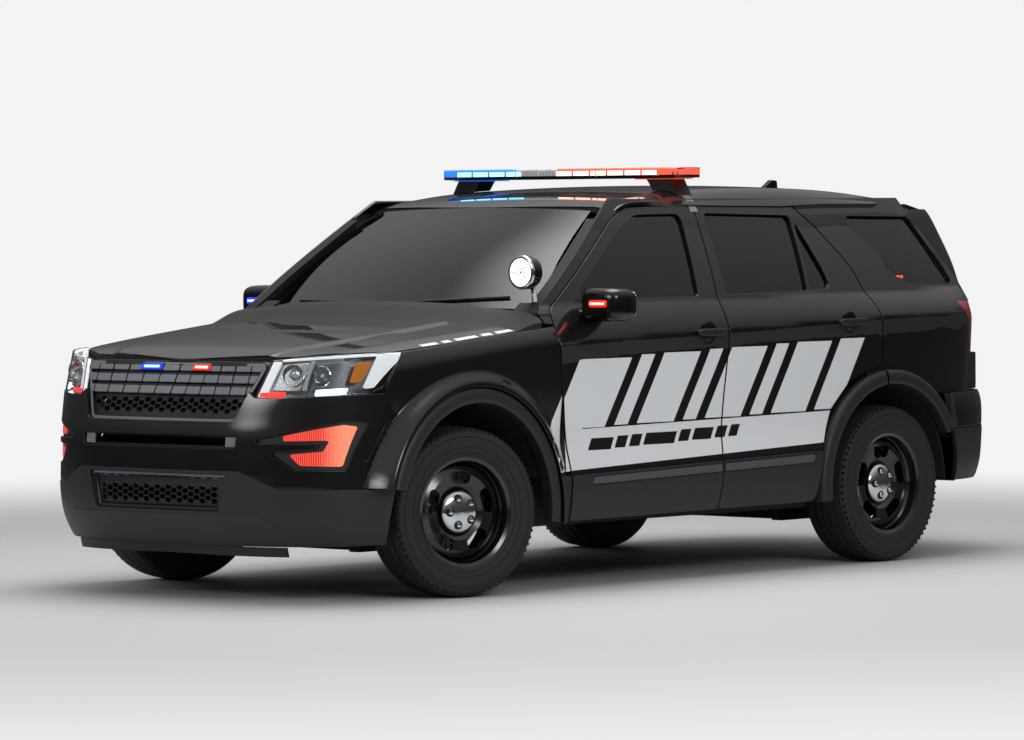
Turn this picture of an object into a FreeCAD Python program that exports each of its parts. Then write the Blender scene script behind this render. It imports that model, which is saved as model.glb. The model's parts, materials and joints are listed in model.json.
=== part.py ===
import FreeCAD, Part
import math
import os

# Police utility vehicle, five doors, in millimetres.
# +Z is up, the front faces -Y, the driver's left side is +X, the ground is Z = 0.

V = FreeCAD.Vector
os.makedirs("parts", exist_ok=True)

# ---------------------------------------------------------------- driving sizes
WHEELBASE = 2860.0
FRONT_AXLE_Y = -1560.0
TRACK = 1702.0
TYRE_DIAMETER = 726.0
TYRE_WIDTH = 245.0
BODY_WIDTH = 1970.0
LENGTH = 5037.0
ROOF_HEIGHT = 1752.0
SHUT_GAP = 6.0            # gap round every opening panel
SEAT_GAP = 0.3            # gap between a fixed piece and what carries it
STEER_REST = -13.0        # front wheels stand turned this much (minus is right)
ARCH_RADIUS = 462.0       # wheel opening
ARCH_RING = 68.0          # width of the dark ring round the opening
FLARE_WIDTH = 70.0        # width of the painted flare round the ring
SKIN = 35.0               # depth of the outer part of a door
DOOR_DEPTH = 108.0
DOOR_STEP = 20.0          # the inner box of a door is this much smaller all round
GLASS = 5.0
HOOD_DEPTH = 38.0
HOOD_DOME = 10.0          # the middle of the hood stands this much higher
CREASE = 0.6              # how far out its creases run, of half the hood
FENDER_SKIN = 40.0        # thickness of the front fender
FLARE_OUT = 17.0          # the flare stands this far outside the body width
FLARE_FADE = 8.0
ROOF_DEPTH = 30.0
GATE_SKIN = 14.0          # outer part of the liftgate
GATE_DEPTH = 55.0
GATE_STEP = 22.0          # its inner part is this much smaller all round
FLOOR_Z = 330.0

HALF = BODY_WIDTH / 2
REAR_AXLE_Y = FRONT_AXLE_Y + WHEELBASE
AXLE_Z = TYRE_DIAMETER / 2
WHEEL_X = TRACK / 2
KINGPIN_X = WHEEL_X - 76.0


# ---------------------------------------------------------------- small helpers
def spline(pairs):
    """Natural cubic curve through (position, value) pairs, straight beyond them."""
    xs = [float(p[0]) for p in pairs]
    ys = [float(p[1]) for p in pairs]
    n = len(xs)
    h = [xs[i + 1] - xs[i] for i in range(n - 1)]
    m = [0.0] * n
    c = [0.0] * n
    d = [0.0] * n
    for i in range(1, n - 1):
        rhs = 6 * ((ys[i + 1] - ys[i]) / h[i] - (ys[i] - ys[i - 1]) / h[i - 1])
        den = 2 * (h[i - 1] + h[i]) - h[i - 1] * c[i - 1]
        c[i] = h[i] / den
        d[i] = (rhs - h[i - 1] * d[i - 1]) / den
    for i in range(n - 2, 0, -1):
        m[i] = d[i] - c[i] * m[i + 1]

    def value(x):
        if x <= xs[0]:
            return ys[0] + (x - xs[0]) * ((ys[1] - ys[0]) / h[0] - h[0] * m[1] / 6)
        if x >= xs[-1]:
            slope = (ys[-1] - ys[-2]) / h[-1] + h[-1] * m[-2] / 6
            return ys[-1] + (x - xs[-1]) * slope
        i = max(k for k in range(n - 1) if xs[k] <= x)
        a = (xs[i + 1] - x) / h[i]
        b = (x - xs[i]) / h[i]
        bend = ((a ** 3 - a) * m[i] + (b ** 3 - b) * m[i + 1]) * h[i] ** 2 / 6
        return a * ys[i] + b * ys[i + 1] + bend

    return value


def patch(rows):
    """One smooth face through rows of points."""
    surface = Part.BSplineSurface()
    surface.interpolate([[V(*p) for p in row] for row in rows])
    return surface.toShape()


def slab(rows, shift, start=(0, 0, 0)):
    """The smooth face through the rows, moved by start and swept along shift."""
    face = patch(rows)
    face.translate(V(*start))
    return face.extrude(V(*shift))


def rounded(points):
    """Corner list of (a, b, radius) turned into straight and arc pieces."""
    n = len(points)
    cuts = []
    for i in range(n):
        a, b, r = points[i]
        pa = points[i - 1]
        na = points[(i + 1) % n]
        u = (pa[0] - a, pa[1] - b)
        w = (na[0] - a, na[1] - b)
        lu = math.hypot(*u)
        lw = math.hypot(*w)
        u = (u[0] / lu, u[1] / lu)
        w = (w[0] / lw, w[1] / lw)
        dot = max(-1.0, min(1.0, u[0] * w[0] + u[1] * w[1]))
        half = math.acos(dot) / 2
        if r <= 0 or half > math.radians(89.5):
            cuts.append(((a, b), None, (a, b)))
            continue
        t = min(r / math.tan(half), 0.48 * lu, 0.48 * lw)
        r = t * math.tan(half)
        mid = ((u[0] + w[0]), (u[1] + w[1]))
        lm = math.hypot(*mid)
        reach = r / math.sin(half) - r
        centre = (a + mid[0] / lm * reach, b + mid[1] / lm * reach)
        start = (a + u[0] * t, b + u[1] * t)
        end = (a + w[0] * t, b + w[1] * t)
        cuts.append((start, centre, end))
    return cuts


def wire(points, plane, at=0.0):
    """Closed wire of lines and arcs in plane "x", "y" or "z" at height at."""
    def place(p):
        if plane == "x":
            return V(at, p[0], p[1])
        if plane == "y":
            return V(p[0], at, p[1])
        return V(p[0], p[1], at)

    pieces = rounded([p if len(p) == 3 else (p[0], p[1], 0) for p in points])
    edges = []
    for i, (start, middle, end) in enumerate(pieces):
        if middle is not None:
            edges.append(Part.Arc(place(start), place(middle), place(end)).toShape())
        after = pieces[(i + 1) % len(pieces)][0]
        if math.hypot(after[0] - end[0], after[1] - end[1]) > 1e-6:
            edges.append(Part.LineSegment(place(end), place(after)).toShape())
    return Part.Wire(edges)


def prism(points, plane, low, high, grow=0.0):
    """Outline swept between two stations, grown or shrunk by grow first."""
    face = Part.Face(wire(points, plane, low))
    if grow:
        face = face.makeOffset2D(grow)
        face = Part.Face(face.Wires[0])
    way = {"x": V(high - low, 0, 0), "y": V(0, high - low, 0), "z": V(0, 0, high - low)}
    return face.extrude(way[plane])


def box(x0, x1, y0, y1, z0, z1):
    return Part.makeBox(x1 - x0, y1 - y0, z1 - z0, V(x0, y0, z0))


def rod(a, b, radius):
    start = V(*a)
    way = V(*b) - start
    return Part.makeCylinder(radius, way.Length, start, way)


def mirror(shape):
    return shape.mirror(V(0, 0, 0), V(1, 0, 0))


def join(shapes):
    first = shapes[0]
    out = first.fuse(list(shapes[1:])) if len(shapes) > 1 else first
    return out.removeSplitter()


def solids(shape):
    """Solids of a result, without slivers."""
    return [s for s in shape.Solids if s.Volume > 2000.0]


NODES = {}


def node(name, shapes):
    NODES[name] = Part.makeCompound([s for shape in shapes for s in solids(shape)])


# ---------------------------------------------------------------- body surfaces
# Half width along the car at the shoulder line, less HALF.
PLAN = spline((
    (-2330, -190), (-2200, -118), (-2050, -68), (-1900, -38), (-1700, -14), (-1450, -3),
    (-1000, 0), (0, 1), (1000, 0), (1300, -4), (1550, -14), (1750, -34), (1900, -62),
    (2000, -93), (2100, -146), (2180, -212), (2240, -290),
))
# Height of the shoulder line and of the waist under the side windows.
SHOULDER = spline(((-2200, 930), (-1900, 968), (-1000, 1058), (0, 1096), (1000, 1128),
                   (1900, 1150), (2240, 1155)))
WAIST = spline(((-1100, 1228), (0, 1235), (1000, 1250), (2240, 1268)))
# Inset of the side below the shoulder, from sill to shoulder.
SIDE_LOW = spline(((0.0, 40), (0.1, 20), (0.22, 8), (0.34, 9), (0.44, 22), (0.56, 23),
                   (0.8, 9), (1.0, 0)))
SILL_Z = 250.0
# Height of the hood's side edge, and how far the fender rolls in to reach it.
HOOD_EDGE = spline(((-2250, 1018), (-2100, 1036), (-1924, 1054), (-1500, 1098),
                    (-1000, 1142)))
HOOD_ROLL = 34.0
# Half width of the window line at the waist and how far it leans in by the roof.
WINDOW = spline(((-1100, 868), (-900, 893), (-500, 913), (0, 918), (800, 915),
                 (1500, 893), (1750, 874), (1900, 848), (2043, 806), (2154, 728)))
LEAN = 198.0
LEAN_TOP = 1675.0
# Height of the roof's side edge, just over the doors.
RAIL = spline(((-470, 1596), (-400, 1634), (-320, 1664), (-220, 1677), (0, 1679),
               (800, 1679), (1500, 1672), (1960, 1634), (2080, 1620)))


def smooth(f):
    """Soft step from 0 to 1."""
    f = max(0.0, min(1.0, f))
    return f * f * (3 - 2 * f)


def side_x(y, z):
    """Half width of the body side below the waist."""
    top = SHOULDER(y)
    if z <= top:
        return HALF + PLAN(y) - SIDE_LOW((z - SILL_Z) / (top - SILL_Z))
    f = (z - top) / (WAIST(y) - top)
    return HALF + PLAN(y) - (HALF + PLAN(y) - WINDOW(y)) * (0.5 * f + 0.5 * f * f)


def fender_x(y, z):
    """Half width of the front fender between its shoulder and the hood."""
    top = SHOULDER(y)
    f = (z - top) / (HOOD_EDGE(y) - top)
    return HALF + PLAN(y) - HOOD_ROLL * f * f


def window_x(y, z):
    """Half width of the upper body at a height between waist and roof."""
    f = (z - WAIST(y)) / (LEAN_TOP - WAIST(y))
    return WINDOW(y) - LEAN * (0.82 * f + 0.18 * f * f)


def flare_x(y, z):
    """Half width of the flare that stands out from the fender round its wheel."""
    radius = math.hypot(y - FRONT_AXLE_Y, z - AXLE_Z)
    outer = ARCH_RADIUS + ARCH_RING + FLARE_WIDTH + FLARE_FADE
    rise_out = smooth((outer - radius) / (FLARE_WIDTH - 6))
    base = side_x(y, z)
    return base + (HALF + FLARE_OUT - base) * rise_out


def hood_z(x, y):
    """Height of the hood, raised in the middle between two creases."""
    edge = hood_edge_x(y)
    middle = HOOD_MIDDLE(y)
    drop = middle - HOOD_EDGE(y)
    u = min(1.05, abs(x) / edge)
    side = max(0.0, (u - 0.86) / 0.14)
    dome = HOOD_DOME * (1 - smooth((CREASE + 0.05 - u) / 0.1))
    return middle - dome - (drop - HOOD_DOME) * (0.42 * u * u + 0.58 * side ** 1.7)


HOOD_MIDDLE = spline(((-2420, 985), (-2340, 1018), (-2250, 1052), (-2100, 1080),
                      (-1850, 1108), (-1600, 1134), (-1300, 1168), (-1000, 1206)))
ROOF_MIDDLE = spline(((-560, 1612), (-467, 1650), (-300, 1690), (0, 1728),
                      (372, ROOF_HEIGHT - 4), (700, ROOF_HEIGHT), (1200, 1740),
                      (1600, 1708), (1960, 1662), (2080, 1642)))


def roof_z(x, y):
    """Height of the roof skin."""
    edge = roof_edge_x(y)
    u = min(1.05, abs(x) / edge)
    side = max(0.0, (u - 0.88) / 0.12)
    middle = ROOF_MIDDLE(y)
    crown = 20.0 * u * u
    rail = middle - crown - RAIL(y)
    return middle - crown - rail * side ** 1.8


# Rear face: distance back at the middle, and how it wraps round towards the sides.
TAIL = spline(((740, 2396), (840, 2404), (950, 2402), (1080, 2380), (1180, 2344),
               (1260, 2300), (1400, 2196), (1600, 2034), (1680, 1966)))
WRAP = spline(((0, 0), (250, 6), (450, 30), (600, 78), (700, 130), (780, 196),
               (840, 268)))


def tail_y(x, z):
    squeeze = 1.0 + max(0.0, (z - 1250.0)) / 350.0 * 0.16
    return TAIL(z) - WRAP(abs(x) * squeeze)


LOW_STEPS = (0.0, 0.07, 0.14, 0.22, 0.3, 0.37, 0.44, 0.52, 0.62, 0.74, 0.87, 1.0)
SIDE_YS = (-2330, -2200, -2050, -1900, -1650, -1350, -1000, -500, 0, 500, 1000, 1300,
           1600, 1800, 1950, 2060, 2150, 2220)
FENDER_YS = (-2330, -2200, -2050, -1900, -1650, -1350, -1000, -900)


def rise(ys, steps, low, high, shape):
    """Grid rows at fractions of the way from one height line to another."""
    rows = []
    for f in steps:
        row = []
        for y in ys:
            z = low(y) + f * (high(y) - low(y))
            row.append((shape(y, z), y, z))
        rows.append(row)
    return rows


def sill(y):
    return SILL_Z


def roof_line(y):
    return LEAN_TOP


SIDE = rise(SIDE_YS, LOW_STEPS, sill, SHOULDER, side_x)
SIDE += rise(SIDE_YS, (0.3, 0.65, 1.0), SHOULDER, WAIST, side_x)
SIDE += rise(SIDE_YS, (0.15, 0.4, 0.65, 0.88, 1.04), WAIST, roof_line, window_x)
FENDER_ROWS = rise(FENDER_YS, LOW_STEPS, sill, SHOULDER, side_x)
FENDER_ROWS += rise(FENDER_YS, (0.35, 0.7, 1.0), SHOULDER, HOOD_EDGE, fender_x)


def side(depth, start=0.0):
    """Left body side, depth thick, starting this far in from the skin."""
    return slab(SIDE, (-depth, 0, 0), (-start, 0, 0))


# ---------------------------------------------------------------- side outlines
# All in (y, z) with a corner radius.
FRONT_DOOR = (
    (-955, 292, 25), (46, 300, 20), (66, 443, 60), (80, 601, 0), (93, 812, 0),
    (112, 1033, 0), (118, 1236, 0), (166, 1676, 30), (-250, 1673, 150),
    (-430, 1600, 250), (-1002, 1208, 60), (-1032, 1111, 40), (-1004, 916, 0),
    (-968, 640, 120), (-950, 476, 120),
)
REAR_DOOR = (
    (46, 300, 20), (548, 302, 0), (742, 306, 40), (800, 560, 0), (870, 720, 0),
    (1000, 842, 0), (1130, 890, 0), (1246, 905, 20), (1238, 1010, 100),
    (1222, 1172, 150), (1150, 1372, 300), (992, 1552, 200), (860, 1668, 110),
    (166, 1676, 30), (118, 1236, 0), (112, 1033, 0), (93, 812, 0), (80, 601, 0),
    (66, 443, 60),
)
FRONT_WINDOW = (
    (-842, 1250, 25), (-8, 1253, 22), (54, 1620, 28), (-256, 1618, 150),
    (-392, 1560, 200),
)
REAR_WINDOW = (
    (188, 1258, 22), (770, 1266, 8), (826, 1610, 20), (216, 1622, 28),
)
REAR_PANE = (
    (790, 1268, 8), (952, 1274, 40), (930, 1360, 60), (846, 1590, 8),
)
QUARTER_WINDOW = (
    (1204, 1606, 28), (1756, 1598, 24), (1972, 1276, 20), (1548, 1284, 90),
)
CLADDING_TOP = ((-1200, 487), (900, 541))


def ring_cut(y, radius):
    return rod((300, y, AXLE_Z), (1100, y, AXLE_Z), radius)


HALF_GAP = SHUT_GAP / 2
WAIST_CUT = 1226.0


def door(outline, windows, clip=None):
    """Door solid: thin outer skin, deeper inner box, framed window hole."""
    skin = side(SKIN).common(prism(outline, "x", 500, 1100, -HALF_GAP))
    inner = side(DOOR_DEPTH - SKIN + 4, SKIN - 4)
    inner = inner.common(prism(outline, "x", 500, 1100, -HALF_GAP - DOOR_STEP))
    inner = inner.cut(box(300, 1150, -1200, 1400, WAIST_CUT, 1800))
    shape = join([skin, inner])
    for window in windows:
        shape = shape.cut(prism(window, "x", 400, 1150))
    if clip:
        shape = shape.cut(clip)
    return shape


rear_door_clip = ring_cut(REAR_AXLE_Y, ARCH_RADIUS + ARCH_RING + 3)
front_door = door(FRONT_DOOR, [FRONT_WINDOW])
rear_door = door(REAR_DOOR, [REAR_WINDOW, REAR_PANE], rear_door_clip)


def pane(outline):
    """Window glass set into its frame."""
    glass = side(GLASS, 14.0)
    return glass.common(prism(outline, "x", 400, 1150, -SEAT_GAP))


# ---------------------------------------------------------------- lower cladding
def cladding(outline, clip=None):
    """Dark lower cladding standing off a door skin."""
    low, high = CLADDING_TOP
    band = ((-1300, 200), (1000, 200), (1000, high[1] + 3), (-1300, low[1] - 3))
    plate = slab(SIDE, (9.0, 0, 0), (SEAT_GAP, 0, 0))
    shape = plate.common(prism(outline, "x", 700, 1100, -HALF_GAP))
    shape = shape.common(prism(band, "x", 700, 1150))
    if clip:
        shape = shape.cut(clip)
    return shape


front_cladding = cladding(FRONT_DOOR)
rear_cladding = cladding(REAR_DOOR, rear_door_clip)


def handle(y, z):
    """Pull handle across a round cup."""
    x = side_x(y, z)
    bar = box(x + 16, x + 34, y - 62, y + 128, z - 15, z + 17)
    bar = bar.makeFillet(7.0, bar.Edges)
    post_a = box(x + SEAT_GAP, x + 20, y - 52, y - 30, z - 11, z + 11)
    post_b = box(x + SEAT_GAP - 2, x + 20, y + 92, y + 118, z - 11, z + 11)
    return join([bar, post_a, post_b]).cut(side(60, -SEAT_GAP))


# ---------------------------------------------------------------- fixed body side
def opening(outline):
    """Hole in the body side for a door."""
    return prism(outline, "x", 300, 1150, HALF_GAP)


def body_side():
    """Sill, pillars, rail and rear quarter of the left side."""
    zone = ((-1078, 1190), (-1030, 1236), (-452, 1652), (-400, 1692), (1960, 1692),
            (2148, 1262), (2215, 1230), (2215, 560), (1780, 560), (1780, 270),
            (1120, 270), (1120, 1196))
    skin = side(60.0).common(prism(zone, "x", 400, 1150))
    skin = skin.cut(opening(FRONT_DOOR))
    skin = skin.cut(opening(REAR_DOOR))
    skin = skin.cut(prism(QUARTER_WINDOW, "x", 400, 1150))
    skin = skin.cut(ring_cut(REAR_AXLE_Y, ARCH_RADIUS + ARCH_RING))
    # sill box, centre pillar and front pillar behind the doors
    beam = prism(((-1100, FLOOR_Z - 60, 20), (830, FLOOR_Z - 60, 20),
                  (800, FLOOR_Z + 110, 20), (-1100, FLOOR_Z + 110, 20)),
                 "x", HALF - 255, HALF - 140)
    post = prism(((20, 400, 0), (150, 400, 0), (170, 1240, 0), (225, 1690, 0),
                  (105, 1690, 0), (50, 1240, 0)), "x", 400, 1100)
    low_post = side(50.0, DOOR_DEPTH + SEAT_GAP).common(post)
    low_post = low_post.cut(box(300, 1150, -200, 400, WAIST_CUT + 10, 1800))
    high_post = side(110.0, SKIN + 8).common(post)
    high_post = high_post.cut(box(300, 1150, -200, 400, 0, WAIST_CUT + 6))
    front_post = prism(((-1075, 420), (-940, 420), (-950, 640), (-990, 1120),
                        (-1040, 1200), (-1090, 1200), (-1090, 1000), (-1060, 700)),
                       "x", 500, 1100)
    front_post = front_post.common(side(80.0, DOOR_DEPTH + SEAT_GAP))
    foot = prism(((-1070, 1150), (-1000, 1150), (-1000, 1240), (-1070, 1200)),
                 "x", 500, 1100)
    foot = side(150.0).common(foot).cut(opening(FRONT_DOOR))
    return [beam, front_post, low_post, high_post, skin, foot]


side_pieces = body_side()

# ---------------------------------------------------------------- front fender
FENDER = (
    (-957, 292, 20), (-950, 476, 120), (-968, 640, 120), (-1004, 916, 0),
    (-1032, 1111, 0), (-1040, 1240, 0), (-2060, 1200, 0), (-1968, 1054, 0),
    (-2050, 898, 0), (-2010, 800, 0), (-1560, 520, 0), (-1130, 292, 0),
)


def front_fender():
    zone = prism(FENDER, "x", 500, 1150, 0)
    zone = zone.cut(prism(FRONT_DOOR, "x", 400, 1160, HALF_GAP))
    panel = slab(FENDER_ROWS, (-FENDER_SKIN, 0, 0)).common(zone)
    rows = []
    for radius in (518, 532, 546, 560, 574, 588, 602, 616):
        row = []
        for k in range(22):
            angle = math.radians(-52 + 284 * k / 21)
            y = FRONT_AXLE_Y + radius * math.cos(angle)
            z = AXLE_Z + radius * math.sin(angle)
            row.append((flare_x(y, z), y, z))
        rows.append(row)
    # the flare takes root half way into the thickness of the panel
    root = slab(FENDER_ROWS, (-300, 0, 0), (-FENDER_SKIN / 2, 0, 0))
    flare = slab(rows, (-90, 0, 0)).cut(root)
    flare = flare.common(ring_cut(FRONT_AXLE_Y, ARCH_RADIUS + ARCH_RING + FLARE_WIDTH))
    keep = prism(((-2200, 483), (-2200, 1000), (-1000, 1000), (-1000, 494)),
                 "x", 800, 1100)
    flare = flare.common(keep)
    shape = join([panel, flare])
    return shape.cut(ring_cut(FRONT_AXLE_Y, ARCH_RADIUS + ARCH_RING))


fender = front_fender()


def arch_ring(y, lowest_front, lowest_rear):
    """Dark ring round a wheel opening."""
    ring = rod((HALF - 40, y, AXLE_Z), (HALF + 17, y, AXLE_Z),
               ARCH_RADIUS + ARCH_RING - SEAT_GAP)
    ring = ring.cut(ring_cut(y, ARCH_RADIUS))
    front = box(800, 1100, y - 700, y, -400, lowest_front)
    rear = box(800, 1100, y, y + 700, -400, lowest_rear)
    return ring.cut(front).cut(rear)


# ---------------------------------------------------------------- hood and roof
ACROSS = (0.0, 0.18, 0.36, 0.48, 0.54, 0.6, 0.66, 0.74, 0.82, 0.88, 0.92, 0.96, 1.0,
          1.03)


def top_rows(shape, edge, ys):
    """Grid rows across the car, spread between its edge lines."""
    rows = []
    for y in ys:
        right = [(-f * edge(y), y, shape(-f * edge(y), y)) for f in ACROSS[:0:-1]]
        left = [(f * edge(y), y, shape(f * edge(y), y)) for f in ACROSS]
        rows.append(right + left)
    return rows


def hood_edge_x(y):
    return HALF + PLAN(y) - HOOD_ROLL


def roof_edge_x(y):
    return WINDOW(y) - LEAN


HOOD_YS = (-2400, -2300, -2200, -2050, -1850, -1600, -1300, -1000)
HOOD_ROWS = top_rows(hood_z, hood_edge_x, HOOD_YS)
HOOD = (
    (-600, -2262, 0), (0, -2345, 900), (600, -2262, 0), (780, -2150, 0), (888, -1978, 0),
    (930, -1700, 0), (945, -1400, 0), (946, -1078, 30), (500, -1134, 900),
    (0, -1152, 2500), (-500, -1134, 900), (-946, -1078, 30), (-945, -1400, 0),
    (-930, -1700, 0), (-888, -1978, 0), (-780, -2150, 0),
)
hood = slab(HOOD_ROWS, (0, 0, -HOOD_DEPTH)).common(prism(HOOD, "z", 900, 1300))
hood_room = slab(HOOD_ROWS, (0, 0, -HOOD_DEPTH - 60 - SHUT_GAP), (0, 0, 60))
hood_room = hood_room.common(prism(HOOD, "z", 800, 1400, SHUT_GAP))

ROOF_YS = (-520, -400, -200, 0, 372, 800, 1200, 1600, 1800, 1985)
ROOF_ROWS = top_rows(roof_z, roof_edge_x, ROOF_YS)
ROOF = (
    (-740, -384, 0), (-632, -398, 0), (0, -468, 2500), (632, -398, 0), (740, -384, 0),
    (740, 800, 0), (715, 1500, 0), (640, 1858, 30), (300, 1922, 0), (0, 1938, 0),
    (-300, 1922, 0), (-640, 1858, 30), (-715, 1500, 0), (-740, 800, 0),
)
roof = slab(ROOF_ROWS, (0, 0, -ROOF_DEPTH)).common(prism(ROOF, "z", 1500, 1900))
for outline in (FRONT_DOOR, REAR_DOOR):
    hole = prism(outline, "x", 640, 1150, HALF_GAP)
    roof = roof.cut(hole).cut(mirror(hole))
roof_room = slab(ROOF_ROWS, (0, 0, -ROOF_DEPTH - 60 - 2 * SEAT_GAP), (0, 0, 60 + SEAT_GAP))

# ---------------------------------------------------------------- glass
def screen_point(u, t):
    """Windshield outside, u across from -1 to 1 and t up from the cowl."""
    x = u * (812 - 178 * t)
    y = -1088 + 614 * t + (118 - 62 * t) * u * u - 22 * math.sin(math.pi * t)
    z = 1216 + 436 * t - (10 + 6 * t) * u * u + 14 * math.sin(math.pi * t)
    return (x, y, z)


def screen_rows(lowest):
    return [[screen_point(-1.06 + 2.12 * k / 10, t) for k in range(11)]
            for t in (lowest, 0.25, 0.5, 0.75, 1.03)]


windshield = slab(screen_rows(-0.05), (0, 3.4, -5.0))
screen_room = slab(screen_rows(-0.08), (0, 4.2, -6.0), (0, -0.4, 0.5))
pillar_room = side(62.0 + 2 * SEAT_GAP + 40, -40.0)
corner_room = side(DOOR_DEPTH + 50, -40.0).common(box(300, 1150, -1200, 0, 1000, 1240))
windshield = windshield.cut(pillar_room).cut(mirror(pillar_room))
windshield = windshield.cut(corner_room).cut(mirror(corner_room)).cut(roof_room)

# ---------------------------------------------------------------- rear end
def tail_rows():
    rows = []
    for z in (760, 840, 940, 1040, 1140, 1220, 1300, 1420, 1540, 1640):
        row = []
        for k in range(15):
            x = -800 + 1600 * k / 14
            row.append((x, tail_y(x, z), z))
        rows.append(row)
    return rows


TAIL_ROWS = tail_rows()
GATE = (
    (-590, 776, 40), (590, 776, 40), (668, 900, 60), (664, 1230, 60), (640, 1290, 60),
    (566, 1636, 20), (-566, 1636, 20), (-640, 1290, 60), (-664, 1230, 60),
    (-668, 900, 60),
)
REAR_SCREEN = (
    (-585, 1262, 50), (585, 1262, 50), (522, 1596, 40), (-522, 1596, 40),
)
gate = slab(TAIL_ROWS, (0, -GATE_SKIN, 0))
gate = gate.common(prism(GATE, "y", 1700, 2600, -HALF_GAP))
gate_inner = slab(TAIL_ROWS, (0, -GATE_DEPTH + GATE_SKIN - 4, 0), (0, 4 - GATE_SKIN, 0))
gate_inner = gate_inner.common(prism(GATE, "y", 1700, 2600, -HALF_GAP - GATE_STEP))
gate = join([gate, gate_inner])
gate = gate.cut(prism(REAR_SCREEN, "y", 1600, 2700))
PLATE_RECESS = ((-168, 930, 12), (168, 930, 12), (168, 1082, 12), (-168, 1082, 12))
gate = gate.cut(prism(PLATE_RECESS, "y", TAIL(1000) - 18, 2600))
rear_glass = slab(TAIL_ROWS, (0, -GLASS, 0), (0, -10, 0))
rear_glass = rear_glass.common(prism(REAR_SCREEN, "y", 1600, 2700, -SEAT_GAP))

gate_hole = prism(GATE, "y", 1600, 2700, HALF_GAP)
gate_room = slab(TAIL_ROWS, (0, -67 - SEAT_GAP, 0), (0, 12, 0)).common(gate_hole)
gate_swing = slab(TAIL_ROWS, (0, -73, 0), (0, 12, 0)).common(gate_hole)
gate_seat = slab(TAIL_ROWS, (0, -GATE_DEPTH - 2 * SEAT_GAP, 0), (0, SEAT_GAP, 0))
gate_seat = gate_seat.common(prism(GATE, "y", 1600, 2700))
roof = roof.cut(gate_swing)
flange = slab(TAIL_ROWS, (0, -18, 0), (0, -GATE_DEPTH - SEAT_GAP, 0))
flange = flange.common(prism(GATE, "y", 1600, 2700, 12))
flange = flange.cut(prism(GATE, "y", 1600, 2700, -GATE_STEP - 14))
flange_room = slab(TAIL_ROWS, (0, -19, 0), (0, -54.6, 0))
flange_room = flange_room.common(prism(GATE, "y", 1600, 2700, 13))
corner_zone = prism(((600, 776), (830, 776), (830, 1262), (720, 1300), (640, 1640),
                     (540, 1640)), "y", 1700, 2600)
corner = slab(TAIL_ROWS, (0, -60, 0)).common(corner_zone)
corner = corner.cut(prism(GATE, "y", 1600, 2700, HALF_GAP))

spoiler = prism(((1870, 1656), (1952, 1659), (2088, 1628), (2084, 1612), (2000, 1622),
                 (1952, 1640), (1870, 1640)), "x", -556, 556)
SPOILER_PLAN = ((-556, 1882), (-300, 1930), (0, 1946), (300, 1930), (556, 1882),
                (556, 2100), (-556, 2100))
spoiler = spoiler.common(prism(SPOILER_PLAN, "z", 1600, 1700)).cut(gate_seat)

# ---------------------------------------------------------------- bumpers
# Plan line of the front bumper from the middle outwards, then of the rear one.
FRONT_PLAN = ((0, -LENGTH / 2 + 6), (220, -2509), (430, -2492), (600, -2442), (730, -2365),
              (825, -2262), (885, -2150), (925, -2030), (955, -1900))
REAR_PLAN = ((0, LENGTH / 2 - 4), (280, 2504), (480, 2462), (640, 2386), (760, 2276),
             (842, 2160), (900, 2030), (940, 1880), (962, 1720))


def wrap_rows(plan, levels, direction):
    """Rows right round one end. A level is (z, setback of the middle, of the end)."""
    rows = []
    for z, setback, narrow in levels:
        left = []
        for k, (x, y) in enumerate(plan):
            f = k / (len(plan) - 1)
            wide = x * (1 - narrow * f / x) if x else 0.0
            left.append((wide, y - direction * setback * (1 - 0.75 * f), z))
        right = [(-p[0], p[1], p[2]) for p in left[:0:-1]]
        rows.append(right + left)
    return rows


FRONT_LEVELS = ((470, 0, 0), (560, -2, 2), (640, 0, 2), (700, 4, 0), (770, 20, -2),
                (870, 46, -4), (930, 66, -6))


def bumper(plan, levels, direction, thick):
    """Wrapped skin swept thick towards the middle of the car."""
    return slab(wrap_rows(plan, levels, direction), (0, -direction * thick, 0))


# ---------------------------------------------------------------- front end
flare_zone = ring_cut(FRONT_AXLE_Y, ARCH_RADIUS + ARCH_RING + FLARE_WIDTH + 9)
flare_zone = join([flare_zone, mirror(flare_zone)])
ring_zone = ring_cut(FRONT_AXLE_Y, ARCH_RADIUS + 3)
ring_zone = join([ring_zone, mirror(ring_zone)])
FRONT_LOWER_LEVELS = ((240, 78, 60), (300, 36, 30), (384, 4, 6), (480, -4, -6),
                      (560, -6, -6))
UPPER_GRILLE = ((-436, 764, 30), (436, 764, 30), (548, 1012, 25), (-548, 1012, 25))
SLOT = ((-455, 652, 12), (455, 652, 12), (462, 708, 12), (-462, 708, 12))
LOWER_GRILLE = ((-372, 386, 15), (372, 386, 15), (410, 545, 15), (-410, 545, 15))
FOG = ((548, 692, 10), (850, 766, 12), (892, 760, 12), (850, 560, 12), (700, 566, 14),
       (600, 640, 8), (770, 652, 8), (780, 672, 8), (560, 676, 8))
VALANCE_TOP = ((-960, 200), (960, 200), (960, 478), (660, 478), (470, 556),
               (-470, 556), (-660, 478), (-960, 478))
HEADLAMP = ((556, 1020, 12), (522, 868, 14), (600, 862, 0), (905, 884, 20),
            (930, 1052, 20), (700, 1034, 0))
HEADLAMP_SIDE = ((-2500, 864, 0), (-2112, 884, 20), (-2060, 910, 20), (-1945, 1051, 6),
                 (-2350, 1026, 0), (-2500, 1022, 0))


def panel_y(shape, outline, low, high, grow=0.0):
    return shape.common(prism(outline, "y", low, high, grow))


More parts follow.
